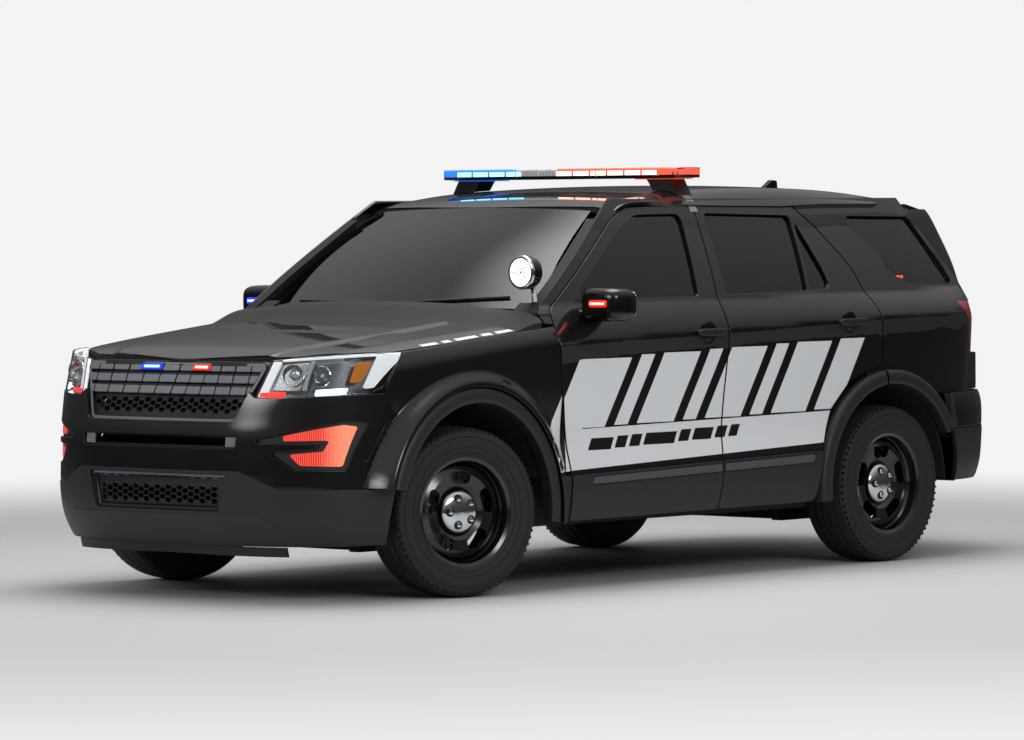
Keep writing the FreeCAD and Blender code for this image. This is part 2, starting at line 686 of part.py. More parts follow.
cover = bumper(FRONT_PLAN, FRONT_LEVELS, -1, 60.0)
BUMPER = ((-990, 478), (990, 478), (990, 884), (600, 862), (522, 866), (480, 900),
          (-480, 900), (-522, 866), (-600, 862), (-990, 884))
cover = panel_y(cover, BUMPER, -2600, -1700)
cover = cover.cut(prism(VALANCE_TOP, "y", -2600, -1700, SEAT_GAP))
cover = cover.cut(prism(UPPER_GRILLE, "y", -2600, -1700, SEAT_GAP))
cover = cover.cut(prism(SLOT, "y", -2600, -1700))
hole = prism(FOG, "y", -2600, -1700)
cover = cover.cut(hole).cut(mirror(hole))
cover = cover.cut(flare_zone)
fender_room = prism(FENDER, "x", 500, 1150, 1.0)
fender_room = [fender_room, mirror(fender_room)]
cover = cover.cut(fender_room)
lower = bumper(FRONT_PLAN, FRONT_LOWER_LEVELS, -1, 60.0)
lower = panel_y(lower, VALANCE_TOP, -2600, -1700)
lower = lower.cut(prism(LOWER_GRILLE, "y", -2600, -1700))
lower = lower.cut(ring_zone)
node("front_bumper", [cover])
dam = bumper(FRONT_PLAN[:6], ((196, 132, 60), (218, 124, 54), (240 - SEAT_GAP, 116, 48)),
             -1, 20.0)
dam = dam.common(box(-620, 620, -2600, -1900, 190, 240 - SEAT_GAP))
node("front_valance", [lower, dam])

GRILLE_LEVELS = ((380, 4, 6), (545, 2, 0), (650, 10, 0), (764, 34, 0), (850, 74, 0),
                 (940, 124, 0), (1020, 172, 0))
# Depth of the grille's parts behind the bumper's face, and how thick they are.
BAR_BACK, MESH_BACK, MESH_DEPTH = 14.0, 30.0, 14.0
CELL = ((-19, 0), (-9.5, -10.5), (9.5, -10.5), (19, 0), (9.5, 10.5), (-9.5, 10.5))
CELL_PITCH_X, CELL_PITCH_Z = 66.0, 27.0
BARS = ((876, 914), (924, 962), (972, 1006))
BAR_GROOVE = 92.0
grille_rows = wrap_rows(FRONT_PLAN[:5], GRILLE_LEVELS, -1)
grille_skin = slab(grille_rows, (0, 30, 0), (0, BAR_BACK, 0))
mesh_skin = slab(grille_rows, (0, MESH_DEPTH, 0), (0, MESH_BACK, 0))


def cells(outline, low, high):
    """Six-sided holes of the mesh whose middles lie between two heights."""
    zone = Part.Face(wire(outline, "y", 0)).makeOffset2D(-30)
    zone = Part.Face(zone.Wires[0])
    out = []
    for row in range(int((high - low) / CELL_PITCH_Z * 2) + 1):
        z = low + row * CELL_PITCH_Z / 2
        shift = CELL_PITCH_X / 2 * (row % 2)
        for column in range(-8, 9):
            x = column * CELL_PITCH_X + shift
            if zone.isInside(V(x, 0, z), 0.1, True):
                hole = [(x + a, z + b) for a, b in CELL]
                out.append(prism(hole, "y", -2600, -2200))
    return out


def framed(outline, cell_low, cell_high, closed=None):
    """Grille of one outline: a frame with a mesh of six-sided holes set back in it."""
    frame = panel_y(grille_skin, outline, -2600, -2100, -SEAT_GAP)
    frame = frame.cut(prism(outline, "y", -2600, -2100, -16))
    web = panel_y(mesh_skin, outline, -2600, -2100, -8)
    web = web.cut(cells(outline, cell_low, cell_high))
    pieces = [frame, web]
    if closed:
        pieces.append(panel_y(mesh_skin, outline, -2600, -2100, -8).common(closed))
    return join(pieces)


upper_grille = framed(UPPER_GRILLE, 792, 850)
slats = []
for low, high in BARS:
    band = ((-560, low, 5), (560, low, 5), (560, high, 5), (-560, high, 5))
    slat = panel_y(grille_skin, band, -2600, -2100)
    slats.append(slat.common(prism(UPPER_GRILLE, "y", -2600, -2100, -12)))
stripes = [box(k * BAR_GROOVE - 2.5, k * BAR_GROOVE + 2.5, -2600, -2100, 870, 1012)
           for k in range(-5, 6)]
groove_skin = slab(grille_rows, (0, 10, 0), (0, BAR_BACK - 1, 0))
slats = Part.makeCompound(slats).cut(groove_skin.common(Part.makeCompound(stripes)))
upper_grille = join([upper_grille] + slats.Solids).cut(hood_room)
lower_grille = framed(LOWER_GRILLE, 402, 490)
slot_grille = panel_y(grille_skin, SLOT, -2600, -2100, -SEAT_GAP)
slot_grille = slot_grille.cut(box(-390, 390, -2600, -2440, 662, 698))
node("grilles", [upper_grille, lower_grille, slot_grille])

LAMP_LEVELS = ((850, 44, -4), (900, 70, -6), (960, 100, -8), (1060, 150, -12))
lamp = slab(wrap_rows(FRONT_PLAN, LAMP_LEVELS, -1), (0, 150, 0))
lamp = lamp.common(prism(HEADLAMP, "y", -2600, -1700, -SEAT_GAP))
lamp = lamp.common(prism(HEADLAMP_SIDE, "x", 300, 1100))
lamp = lamp.cut([hood_room, fender_room[0]])
node("headlamps", [lamp, mirror(lamp)])

fog_skin = bumper(FRONT_PLAN, FRONT_LEVELS, -1, 30.0)
fog_skin.translate(V(0, 16, 0))
fog = panel_y(fog_skin, FOG, -2600, -1700, -SEAT_GAP).cut(flare_zone)
node("fog_lamps", [fog, mirror(fog)])

# ---------------------------------------------------------------- rear bumper
REAR_LEVELS = ((590, 0, 0), (680, -2, 0), (740, 12, 4), (785, 46, 12))
REAR_LOWER_LEVELS = ((350, 60, 30), (420, 20, 12), (500, 4, 2), (605, -4, -4))
rear_ring = ring_cut(REAR_AXLE_Y, ARCH_RADIUS + ARCH_RING + 3)
rear_ring = join([rear_ring, mirror(rear_ring)])
rear_cover = bumper(REAR_PLAN, REAR_LEVELS, 1, 60.0)
REAR_CLIP = ((-1000, 600), (1000, 600), (1000, 770), (-1000, 770))
rear_cover = panel_y(rear_cover, REAR_CLIP, 1780, 2600).cut(rear_ring)
rear_lower = bumper(REAR_PLAN, REAR_LOWER_LEVELS, 1, 60.0)
REAR_LOW_CLIP = ((-1000, 352), (1000, 352), (1000, 600 - SEAT_GAP),
                 (-1000, 600 - SEAT_GAP))
rear_lower = panel_y(rear_lower, REAR_LOW_CLIP, 1700, 2600).cut(rear_ring)
node("rear_bumper", [rear_cover])
node("rear_valance", [rear_lower])

# ---------------------------------------------------------------- tail lamps
TAIL_LAMP = ((1885, 1203, 10), (2090, 1198, 10), (2280, 1190, 0), (2280, 950, 0),
             (2096, 948, 20), (2046, 1096, 30))
lamp_hole = prism(TAIL_LAMP, "x", 640, 1150)


# ---------------------------------------------------------------- wheels
def turned(profile, centre):
    """Ring turned about the axle from (x, radius) points, x from the middle."""
    points = [V(x, r, 0) for x, r in profile]
    face = Part.Face(Part.makePolygon(points + [points[0]]))
    ring = face.revolve(V(0, 0, 0), V(1, 0, 0), 360)
    ring.translate(V(*centre))
    return ring


WALL = TYRE_WIDTH / 2
TYRE_HALF = ((84, 250), (WALL - 18, 275), (WALL - 13, 300), (WALL - 18, 328), (86, 344))
TYRE_OUT = ((WALL - 25, 228), (WALL - 25, 245), (WALL - 6, 268), (WALL, 300),
            (WALL - 3, 332), (WALL - 14, 352), (WALL - 34, 361))
TYRE = (tuple((-x, r) for x, r in TYRE_OUT) + ((0, TYRE_DIAMETER / 2),)
        + TYRE_OUT[::-1] + ((80, 228),) + TYRE_HALF
        + tuple((-x, r) for x, r in TYRE_HALF[::-1]) + ((-80, 228),))
RIM = ((-106, 242), (-98, 242), (-98, 227.7), (-60, 225.7), (-40, 206), (20, 206),
       (60, 225.7), (98, 227.7), (98, 242), (106, 242), (106, 234), (99, 219), (62, 216),
       (28, 197), (-44, 197), (-62, 216), (-99, 219), (-106, 234))
FACE = ((30, 199), (52, 196), (66, 165), (60, 120), (40, 88), (38, 30), (22, 30),
        (22, 90), (44, 124), (50, 160), (40, 180), (24, 190))
WINDOWS_PER_WHEEL = 5


def wheel(centre):
    """Pressed steel wheel with its brake disc and hub cap, outer face to +X."""
    rim = turned(RIM, (0, 0, 0))
    face = turned(FACE, (0, 0, 0))
    for k in range(WINDOWS_PER_WHEEL):
        hole = prism(((-46, 118, 24), (46, 118, 24), (62, 172, 26), (-62, 172, 26)),
                     "x", 0, 120)
        hole.rotate(V(0, 0, 0), V(1, 0, 0), 360.0 * k / WINDOWS_PER_WHEEL)
        face = face.cut(hole)
    rim = join([rim, face])
    cap = turned(((40 + SEAT_GAP, 0), (40 + SEAT_GAP, 76), (52, 76), (66, 62), (74, 34),
                  (76, 0)), (0, 0, 0))
    disc = turned(((-50, 0), (-50, 162), (-26, 162), (-26, 88), (22 - SEAT_GAP, 84),
                   (22 - SEAT_GAP, 0)), (0, 0, 0))
    out = [rim, cap, disc]
    for piece in out:
        piece.translate(V(*centre))
    return out


def knuckle(centre, kingpin):
    """Upright with a caliper, kingpin pads above and below."""
    x, y, z = centre
    upright = box(kingpin - 22, kingpin + 20, y - 38, y + 38, z - 125, z + 125)
    low = rod((kingpin, y, z - 150 + SEAT_GAP), (kingpin, y, z - 120), 20)
    high = rod((kingpin, y, z + 120), (kingpin, y, z + 150 - SEAT_GAP), 20)
    spindle = rod((kingpin, y, z), (x - 50 - SEAT_GAP, y, z), 42)
    bracket = box(kingpin - 20, kingpin + 14, y + 30, y + 120, z - 40, z + 40)
    caliper = box(x - 66, x - 12, y + 108, y + 176, z - 62, z + 62)
    slot = turned(((-56, 0), (-56, 170), (-20, 170), (-20, 0)), centre)
    caliper = caliper.cut(slot)
    bridge = box(kingpin - 20, x - 57, y + 100, y + 150, z - 40, z + 40)
    body = join([upright, low, high, spindle, bracket, bridge, caliper])
    return body


def arms(x, y, z):
    """Lower and upper suspension arms reaching out to the kingpin pads."""
    out = []
    for level, side_x_in in ((z - 174, SUBFRAME_X - 10), (z + 150, RAIL_X + SEAT_GAP)):
        plate = prism(((side_x_in, y - 60, 6), (side_x_in, y + 60, 6), (x - 40, y + 24, 8),
                       (x + 20, y + 22, 18), (x + 20, y - 22, 18), (x - 40, y - 24, 8)),
                      "z", level, level + 24)
        out.append(plate)
    return out


def steered(shapes):
    for shape in shapes:
        shape.rotate(V(KINGPIN_X, FRONT_AXLE_Y, 0), V(0, 0, 1), STEER_REST)
    return shapes


def steered_right(shapes):
    for shape in shapes:
        shape.rotate(V(-KINGPIN_X, FRONT_AXLE_Y, 0), V(0, 0, 1), STEER_REST)
    return shapes


def tyre(centre):
    return [turned(TYRE, centre)]


hub_front = (WHEEL_X, FRONT_AXLE_Y, AXLE_Z)
hub_rear = (WHEEL_X, REAR_AXLE_Y, AXLE_Z)
node("wheel_front_left", steered(wheel(hub_front)))
node("tyre_front_left", steered(tyre(hub_front)))
node("knuckle_front_left", steered([knuckle(hub_front, KINGPIN_X)]))
node("wheel_front_right", steered_right([mirror(s) for s in wheel(hub_front)]))
node("tyre_front_right", steered_right([mirror(s) for s in tyre(hub_front)]))
node("knuckle_front_right", steered_right([mirror(knuckle(hub_front, KINGPIN_X))]))
node("wheel_rear_left", wheel(hub_rear))
node("tyre_rear_left", tyre(hub_rear))
node("wheel_rear_right", [mirror(s) for s in wheel(hub_rear)])
node("tyre_rear_right", [mirror(s) for s in tyre(hub_rear)])

# ---------------------------------------------------------------- chassis
SUBFRAME_X = 480.0
RAIL_X = 530.0
RAIL_Z = 440.0


def subframe(y):
    """Cross members, towers and arms of one axle."""
    cross = box(-SUBFRAME_X, SUBFRAME_X, y - 110, y - 50, AXLE_Z - 180, AXLE_Z - 110)
    cross2 = box(-SUBFRAME_X, SUBFRAME_X, y + 50, y + 110, AXLE_Z - 180, AXLE_Z - 110)
    shapes = [cross, cross2]
    for sign in (1, -1):
        low = min(sign * SUBFRAME_X, sign * (SUBFRAME_X - 60))
        shapes.append(box(low, low + 60, y - 200, y + 200, AXLE_Z - 180, AXLE_Z - 110))
        shapes.append(box(low, low + 60, y - 60, y + 60, AXLE_Z - 120, RAIL_Z - SEAT_GAP))
        if y < 0:
            shapes.append(box(min(sign * 190, sign * 240), max(sign * 190, sign * 240),
                              y - 90, y - 50, AXLE_Z - 120, 480 - SEAT_GAP))
    low_arm, high_arm = arms(KINGPIN_X, y, AXLE_Z)
    frame = join(shapes + [low_arm, mirror(low_arm)])
    return [frame, high_arm, mirror(high_arm)]


rear_knuckle = knuckle(hub_rear, KINGPIN_X)
node("front_subframe", subframe(FRONT_AXLE_Y))
node("rear_subframe", subframe(REAR_AXLE_Y) + [rear_knuckle, mirror(rear_knuckle)])
node("engine_block", [box(-260, 300, -1930, -1420, 480, 960)])

floor = box(-HALF + 255 + SEAT_GAP, HALF - 255 - SEAT_GAP, -1010, 850, FLOOR_Z,
            FLOOR_Z + 22)
rear_floor = box(-560, 560, 828, 2300, 590, 612)
step = box(-560, 560, 828, 850, FLOOR_Z, 612)
firewall = box(-HALF + 255 + SEAT_GAP, HALF - 255 - SEAT_GAP, -1022, -1000, FLOOR_Z, 1120)
rear_panel = box(-560, 560, 2260, 2310, 440, 768)
rail_left = box(420, 520, -2200, -1000, RAIL_Z, 540)
rail_rear = box(430, RAIL_X, 840, 2290, RAIL_Z, 600)
apron = box(508, RAIL_X, -2220, -1010, RAIL_Z, 900)
core = box(-RAIL_X, RAIL_X, -2260, -2200, 300, 880)
hood_stops = []
for x in (-420, 420):
    hood_stops.append(rod((x, -2225, 870), (x, -2225, 1040), 16))
under = join([floor, rear_floor, step, firewall, rear_panel, rail_left, rail_rear,
              mirror(rail_left), mirror(rail_rear), apron, mirror(apron), core]
             + hood_stops)
hood_seat = slab(HOOD_ROWS, (0, 0, -HOOD_DEPTH - 100 - SEAT_GAP), (0, 0, 100))
fender_seat = slab(FENDER_ROWS, (-140 - SEAT_GAP, 0, 0), (100, 0, 0))
front_seat_room = slab(wrap_rows(FRONT_PLAN, FRONT_LEVELS, -1), (0, 160 + SEAT_GAP, 0),
                       (0, -100, 0))
rear_seat_room = slab(wrap_rows(REAR_PLAN, REAR_LEVELS, 1), (0, -160 - SEAT_GAP, 0),
                      (0, 100, 0))
beams = [box(-480, 480, -2500, -2380, 596, 640), box(-360, -300, -2390, -2240, 596, 640),
         box(300, 360, -2390, -2240, 596, 640), box(-500, 500, 2300, 2490, 640, 690)]
for sign in (1, -1):
    for y in (-1980, -1640, -1260):
        beams.append(box(min(sign * 515, sign * 970), max(sign * 515, sign * 970),
                         y - 40, y + 40, 872, 896))
under = join([under] + beams)
under = under.cut([hood_seat, fender_seat, mirror(fender_seat), front_seat_room,
                   rear_seat_room, flange_room])
node("underbody", [under])


def liner(y, inner_x, first):
    """Wheel arch liner: a thin half round shell with its inner wall."""
    shell = rod((inner_x, y, AXLE_Z), (HALF - 62, y, AXLE_Z), ARCH_RADIUS + 14)
    shell = shell.cut(rod((inner_x, y, AXLE_Z), (HALF, y, AXLE_Z), ARCH_RADIUS + 8))
    keep = box(0, 1100, y - 700, y + 700, AXLE_Z + first, 1000)
    return shell.common(keep)


front_liner = liner(FRONT_AXLE_Y, RAIL_X + SEAT_GAP, 122)
rear_liner = liner(REAR_AXLE_Y, 560 + SEAT_GAP, 0)
node("wheel_liners", [front_liner, mirror(front_liner), rear_liner, mirror(rear_liner)])

# ---------------------------------------------------------------- cabin
DASH = ((-1000 + SEAT_GAP, 700, 20), (-700, 640, 40), (-640, 900, 60), (-720, 1080, 50),
        (-1000 + SEAT_GAP, 1118, 20))
dash = prism(DASH, "x", -725, 725)
column = rod((380, -700, 985), (380, -560, 1020), 24)
wheel_ring = Part.makeTorus(178, 14, V(380, -540, 1025), V(0, 0.92, 0.38))
spokes = rod((380, -560, 1018), (380, -540, 1026), 60)
bar = rod((210, -540, 1025), (550, -540, 1025), 11)
steering = join([column, wheel_ring, spokes, bar]).cut(
    prism(DASH, "x", -770, 770, SEAT_GAP))
node("dashboard", [dash, steering])


def seat(x0, x1, y, z, tall):
    """Seat cushion and back with a head rest on a base."""
    base = box(x0 + 40, x1 - 40, y - 180, y + 180, FLOOR_Z + 22 + SEAT_GAP, z - 90)
    cushion = box(x0, x1, y - 260, y + 230, z - 120, z)
    back = prism(((y + 170, z - 60, 30), (y + 300, z - 60, 30), (y + 420, z + tall, 40),
                  (y + 310, z + tall, 40)), "x", x0, x1)
    rest = prism(((y + 330, z + tall - 10, 10), (y + 400, z + tall - 10, 10),
                  (y + 430, z + tall + 170, 30), (y + 345, z + tall + 170, 30)),
                 "x", (x0 + x1) / 2 - 130, (x0 + x1) / 2 + 130)
    return join([base, cushion, back, rest])


front_seat = seat(130, 640, -280, 720, 560)
rear_seat = seat(-620, 620, 620, 740, 500)
node("seats", [front_seat, mirror(front_seat), rear_seat])

# ---------------------------------------------------------------- roof equipment
BAR_LOW = ROOF_HEIGHT + 30.0
BAR_HIGH = BAR_LOW + 48.0
BAR_HALF = 735.0
BAR_SECTION = ((76, BAR_LOW, 10), (244, BAR_LOW, 10), (256, BAR_LOW + 22, 10),
               (242, BAR_HIGH, 16), (82, BAR_HIGH, 16), (64, BAR_LOW + 22, 10))
BAR_PLAN = ((-BAR_HALF, 60, 70), (BAR_HALF, 60, 70), (BAR_HALF, 260, 70),
            (-BAR_HALF, 260, 70))
light_bar = prism(BAR_SECTION, "x", -BAR_HALF, BAR_HALF)
light_bar = light_bar.common(prism(BAR_PLAN, "z", BAR_LOW - 5, BAR_HIGH + 5))
FOOT = ((500, BAR_LOW + 6, 0), (640, BAR_LOW + 6, 0), (715, 1660, 0), (590, 1660, 0))
foot = prism(FOOT, "y", 108, 212)
feet = [foot, mirror(foot)]
roof_seat = slab(ROOF_ROWS, (0, 0, -140), (0, 0, SEAT_GAP))
light_bar = join([light_bar] + feet).cut(roof_seat)
node("light_bar", [light_bar])
node("antenna", [prism(((1520, roof_z(0, 1520) + SEAT_GAP), (1660, roof_z(0, 1660)
                        + SEAT_GAP), (1650, 1775), (1618, 1778)), "x", -14, 14)])

SPOT = ((0, -1135), (68, -1135), (74, -1128), (74, -1100), (66, -1072), (46, -1052),
        (0, -1042))
spot = Part.Face(Part.makePolygon([V(r, y, 0) for r, y in SPOT + SPOT[:1]]))
spot = spot.revolve(V(0, 0, 0), V(0, 1, 0), 360)
spot.translate(V(802, 64, 1372))
stem = rod((806, -1004, 1320), (852, -1030, 1190), 11)
side_seat = side(150, -SEAT_GAP)
spotlight = join([spot, stem]).cut(hood_room)


MIRROR_X = 1146.0


def mirror_left():
    """Door mirror with its foot on the window corner."""
    shell = prism(((-850, 1166, 40), (-690, 1156, 20), (-686, 1296, 20),
                   (-800, 1304, 60), (-850, 1264, 40)), "x", 925, MIRROR_X)
    plan = ((928, -690, 15), (928, -800, 25), (975, -848, 40), (1100, -848, 70),
            (MIRROR_X, -780, 40), (MIRROR_X - 6, -688, 15))
    face = ((925, 1190, 20), (1000, 1160, 60), (MIRROR_X - 6, 1156, 50),
            (MIRROR_X, 1300, 60), (960, 1306, 40))
    shell = shell.common(prism(plan, "z", 1100, 1350)).common(prism(face, "y", -900, -600))
    foot = box(890, 960, -830, -750, 1178, 1222)
    return join([shell, foot]).cut(side_seat)


cowl = prism(((-1160, 1120 + SEAT_GAP), (-990, 1120 + SEAT_GAP), (-1000, 1196),
              (-1100, 1170), (-1160, 1150)), "x", -HALF + 200.3, HALF - 200.3)
post_room = side(80.0 + 2 * SEAT_GAP, DOOR_DEPTH)
cowl = cowl.cut(screen_room).cut(hood_room)
node("cowl", [cowl.cut(post_room).cut(mirror(post_room))])


def blade(u0, u1, t0, t1):
    """Wiper blade lying along the windshield."""
    sections = []
    for k in range(6):
        x, y, z = screen_point(u0 + k / 5 * (u1 - u0), t0 + k / 5 * (t1 - t0))
        ring = Part.Circle(V(x, y - 3.6, z + 5.2), V(1, 0, 0), 6.0)
        sections.append(Part.Wire([ring.toShape()]))
    return Part.makeLoft(sections, True, False).cut(screen_room)


wiper_a = blade(0.1, 0.8, 0.03, 0.1)
wiper_b = blade(-0.75, -0.02, 0.05, 0.03)
node("wipers", [wiper_a, wiper_b])
pipe = rod((300, 1400, 300), (300, 2440, 300), 30)
muffler = rod((300, 1650, 320), (300, 2050, 320), 70)
hanger = box(292, 308, 1840, 1856, 340, 590 - SEAT_GAP)
node("exhaust", [join([pipe, muffler, hanger])])

# ---------------------------------------------------------------- opening panels
RING_SPLIT_Y = 1246.0
rear_ring_trim = arch_ring(REAR_AXLE_Y, 306, 600)
door_ring = rear_ring_trim.common(box(800, 1100, 600, RING_SPLIT_Y - HALF_GAP, 0, 1000))
rear_ring_trim = rear_ring_trim.common(box(800, 1100, RING_SPLIT_Y + HALF_GAP, 2000, 0,
                                           1000))
for tag, flip in (("left", lambda s: s), ("right", mirror)):
    node("front_door_" + tag, [flip(front_door)])
    node("front_door_glass_" + tag, [flip(pane(FRONT_WINDOW))])
    node("front_door_trim_" + tag, [flip(front_cladding), flip(handle(-60, 1092)),
                                    flip(mirror_left())])
    node("rear_door_" + tag, [flip(rear_door)])
    node("rear_door_glass_" + tag, [flip(pane(REAR_WINDOW)), flip(pane(REAR_PANE))])
    node("rear_door_trim_" + tag, [flip(rear_cladding), flip(handle(950, 1118)),
                                   flip(door_ring)])

wide_side = join(side_pieces + [corner, flange.common(box(0, 1100, 1500, 2600, 0, 1800))])
hood_swing = box(830, 960, -1100, -1070, 1150, 1220)
gate_rise = box(400, 582, 1856, 2200, 1630, 1720)
wide_side = wide_side.cut([roof_room, gate_room, hood_room, hood_swing, gate_rise])
tail_lamp = wide_side.common(prism(TAIL_LAMP, "x", 640, 1150, -SEAT_GAP))
wide_side = wide_side.cut(lamp_hole)
raised = wide_side.copy()
raised.translate(V(0, 0, SEAT_GAP))
node("spotlight", [spotlight.cut([wide_side, raised, screen_room])])
node("tail_lamps", [tail_lamp, mirror(tail_lamp)])
node("body_sides", [wide_side, mirror(wide_side)])
fender = fender.cut(hood_room)
node("front_fenders", [fender, mirror(fender)])
front_ring = arch_ring(FRONT_AXLE_Y, 483, 292)
node("arch_trims", [front_ring, rear_ring_trim, mirror(front_ring),
                    mirror(rear_ring_trim)])
node("hood", [hood])
node("roof_panel", [roof])
glass_quarter = pane(QUARTER_WINDOW)
node("fixed_glass", [windshield, glass_quarter, mirror(glass_quarter)])
node("liftgate", [gate])
node("rear_glass", [rear_glass])
node("spoiler", [spoiler])
for name, shape in NODES.items():
    shape.exportStep("parts/" + name + ".step")
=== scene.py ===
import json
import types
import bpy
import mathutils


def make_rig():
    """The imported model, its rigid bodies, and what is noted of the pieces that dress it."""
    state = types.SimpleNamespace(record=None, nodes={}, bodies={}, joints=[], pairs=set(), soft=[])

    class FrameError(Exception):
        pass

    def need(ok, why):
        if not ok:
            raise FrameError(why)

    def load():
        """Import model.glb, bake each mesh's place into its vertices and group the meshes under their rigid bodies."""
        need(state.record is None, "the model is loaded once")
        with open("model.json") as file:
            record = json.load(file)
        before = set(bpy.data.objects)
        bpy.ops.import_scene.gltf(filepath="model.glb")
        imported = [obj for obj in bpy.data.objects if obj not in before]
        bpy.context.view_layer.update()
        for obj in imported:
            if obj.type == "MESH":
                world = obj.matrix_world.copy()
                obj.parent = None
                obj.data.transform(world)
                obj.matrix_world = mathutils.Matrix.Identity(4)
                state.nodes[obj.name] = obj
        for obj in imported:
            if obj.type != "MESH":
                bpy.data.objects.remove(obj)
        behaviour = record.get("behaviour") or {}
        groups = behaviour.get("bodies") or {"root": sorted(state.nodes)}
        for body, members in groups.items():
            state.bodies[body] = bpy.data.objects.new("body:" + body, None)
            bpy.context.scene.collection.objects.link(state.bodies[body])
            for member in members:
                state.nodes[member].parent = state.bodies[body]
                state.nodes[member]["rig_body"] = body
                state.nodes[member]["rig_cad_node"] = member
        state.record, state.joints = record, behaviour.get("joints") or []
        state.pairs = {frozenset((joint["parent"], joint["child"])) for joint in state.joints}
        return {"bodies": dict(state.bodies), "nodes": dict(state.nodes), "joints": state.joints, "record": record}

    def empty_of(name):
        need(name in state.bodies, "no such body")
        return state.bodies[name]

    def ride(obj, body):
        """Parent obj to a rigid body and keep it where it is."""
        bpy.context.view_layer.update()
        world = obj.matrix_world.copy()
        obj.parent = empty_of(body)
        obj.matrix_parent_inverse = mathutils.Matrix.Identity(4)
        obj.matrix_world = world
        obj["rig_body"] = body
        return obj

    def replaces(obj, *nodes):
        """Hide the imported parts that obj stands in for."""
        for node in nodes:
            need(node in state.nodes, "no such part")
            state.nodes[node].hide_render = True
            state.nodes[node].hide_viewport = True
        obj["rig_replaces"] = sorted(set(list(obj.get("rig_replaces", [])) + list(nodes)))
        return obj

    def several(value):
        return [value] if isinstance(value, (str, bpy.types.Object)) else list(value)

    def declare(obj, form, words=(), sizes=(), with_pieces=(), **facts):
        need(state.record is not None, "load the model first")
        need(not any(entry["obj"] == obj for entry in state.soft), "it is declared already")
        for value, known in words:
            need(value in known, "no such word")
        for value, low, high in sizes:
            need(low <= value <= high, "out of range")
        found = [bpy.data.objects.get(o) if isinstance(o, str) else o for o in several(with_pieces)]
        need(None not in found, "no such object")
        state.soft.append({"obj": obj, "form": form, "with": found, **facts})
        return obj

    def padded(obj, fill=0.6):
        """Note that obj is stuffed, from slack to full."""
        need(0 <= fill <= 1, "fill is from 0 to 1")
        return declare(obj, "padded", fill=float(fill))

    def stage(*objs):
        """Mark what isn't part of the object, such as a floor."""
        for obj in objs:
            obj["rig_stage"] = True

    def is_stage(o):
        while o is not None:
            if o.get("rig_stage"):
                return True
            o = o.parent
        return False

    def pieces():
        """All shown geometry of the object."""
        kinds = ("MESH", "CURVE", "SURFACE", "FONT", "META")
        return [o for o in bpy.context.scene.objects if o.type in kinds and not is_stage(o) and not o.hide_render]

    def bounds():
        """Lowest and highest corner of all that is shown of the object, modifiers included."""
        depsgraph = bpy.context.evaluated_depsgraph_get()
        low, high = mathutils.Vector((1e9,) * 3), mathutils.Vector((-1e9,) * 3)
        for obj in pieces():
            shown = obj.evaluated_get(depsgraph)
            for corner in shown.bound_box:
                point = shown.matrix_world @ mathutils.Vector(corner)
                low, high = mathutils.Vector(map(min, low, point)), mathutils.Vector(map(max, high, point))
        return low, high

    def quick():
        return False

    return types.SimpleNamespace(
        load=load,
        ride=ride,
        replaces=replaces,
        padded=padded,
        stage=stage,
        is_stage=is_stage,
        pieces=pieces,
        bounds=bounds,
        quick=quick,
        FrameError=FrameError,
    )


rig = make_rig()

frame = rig.load()

import json
import math

import bpy
import numpy as np
from bpy.props import FloatProperty, FloatVectorProperty, PointerProperty
from mathutils import Matrix, Vector
from mathutils.geometry import delaunay_2d_cdt

CAD_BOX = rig.bounds()

bl_info = {
    "name": "Police utility vehicle",
    "version": (1, 0, 0),
    "blender": (4, 5, 0),
    "location": "View3D > Sidebar > Police",
    "description": "Dresses the packed model of a police utility vehicle",
    "category": "Object",
}

# Outlines and surfaces are in millimetres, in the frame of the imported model:
# +Z is up, the front faces -Y, the driver's left side is +X.
MM = 0.001
HALF = 985.0
FRONT_AXLE_Y = -1560.0
REAR_AXLE_Y = 1300.0
AXLE_Z = 363.0
ARCH_RADIUS = 462.0
ARCH_RING = 68.0
FLARE_WIDTH = 70.0
HALF_GAP = 3.0
STEER_REST = math.radians(-13.0)
KINGPIN_X = 775.0
WHEEL_X = 851.0


# ---------------------------------------------------------------- curves
def spline(pairs):
    """Natural cubic curve through (position, value) pairs, straight beyond them."""
    xs, ys = np.array(pairs, float).T
    step = np.diff(xs)
    count = len(xs)
    matrix = np.eye(count)
    right = np.zeros(count)
    for i in range(1, count - 1):
        matrix[i, i - 1:i + 2] = step[i - 1], 2 * (step[i - 1] + step[i]), step[i]
        right[i] = 6 * ((ys[i + 1] - ys[i]) / step[i] - (ys[i] - ys[i - 1]) / step[i - 1])
    bend = np.linalg.solve(matrix, right)
    first = (ys[1] - ys[0]) / step[0] - step[0] * bend[1] / 6
    last = (ys[-1] - ys[-2]) / step[-1] + step[-1] * bend[-2] / 6

    def value(x):
        x = np.asarray(x, float)
        i = np.clip(np.searchsorted(xs, x) - 1, 0, count - 2)
        within = np.clip(x, xs[0], xs[-1])
        a = (xs[i + 1] - within) / step[i]
        b = (within - xs[i]) / step[i]
        curve = ((a ** 3 - a) * bend[i] + (b ** 3 - b) * bend[i + 1]) * step[i] ** 2 / 6
        before = np.minimum(x - xs[0], 0) * first
        after = np.maximum(x - xs[-1], 0) * last
        return a * ys[i] + b * ys[i + 1] + curve + before + after

    return value


def smooth(x):
    """0 below 0, 1 above 1 and a soft step between."""
    x = np.clip(x, 0, 1)
    return x * x * (3 - 2 * x)


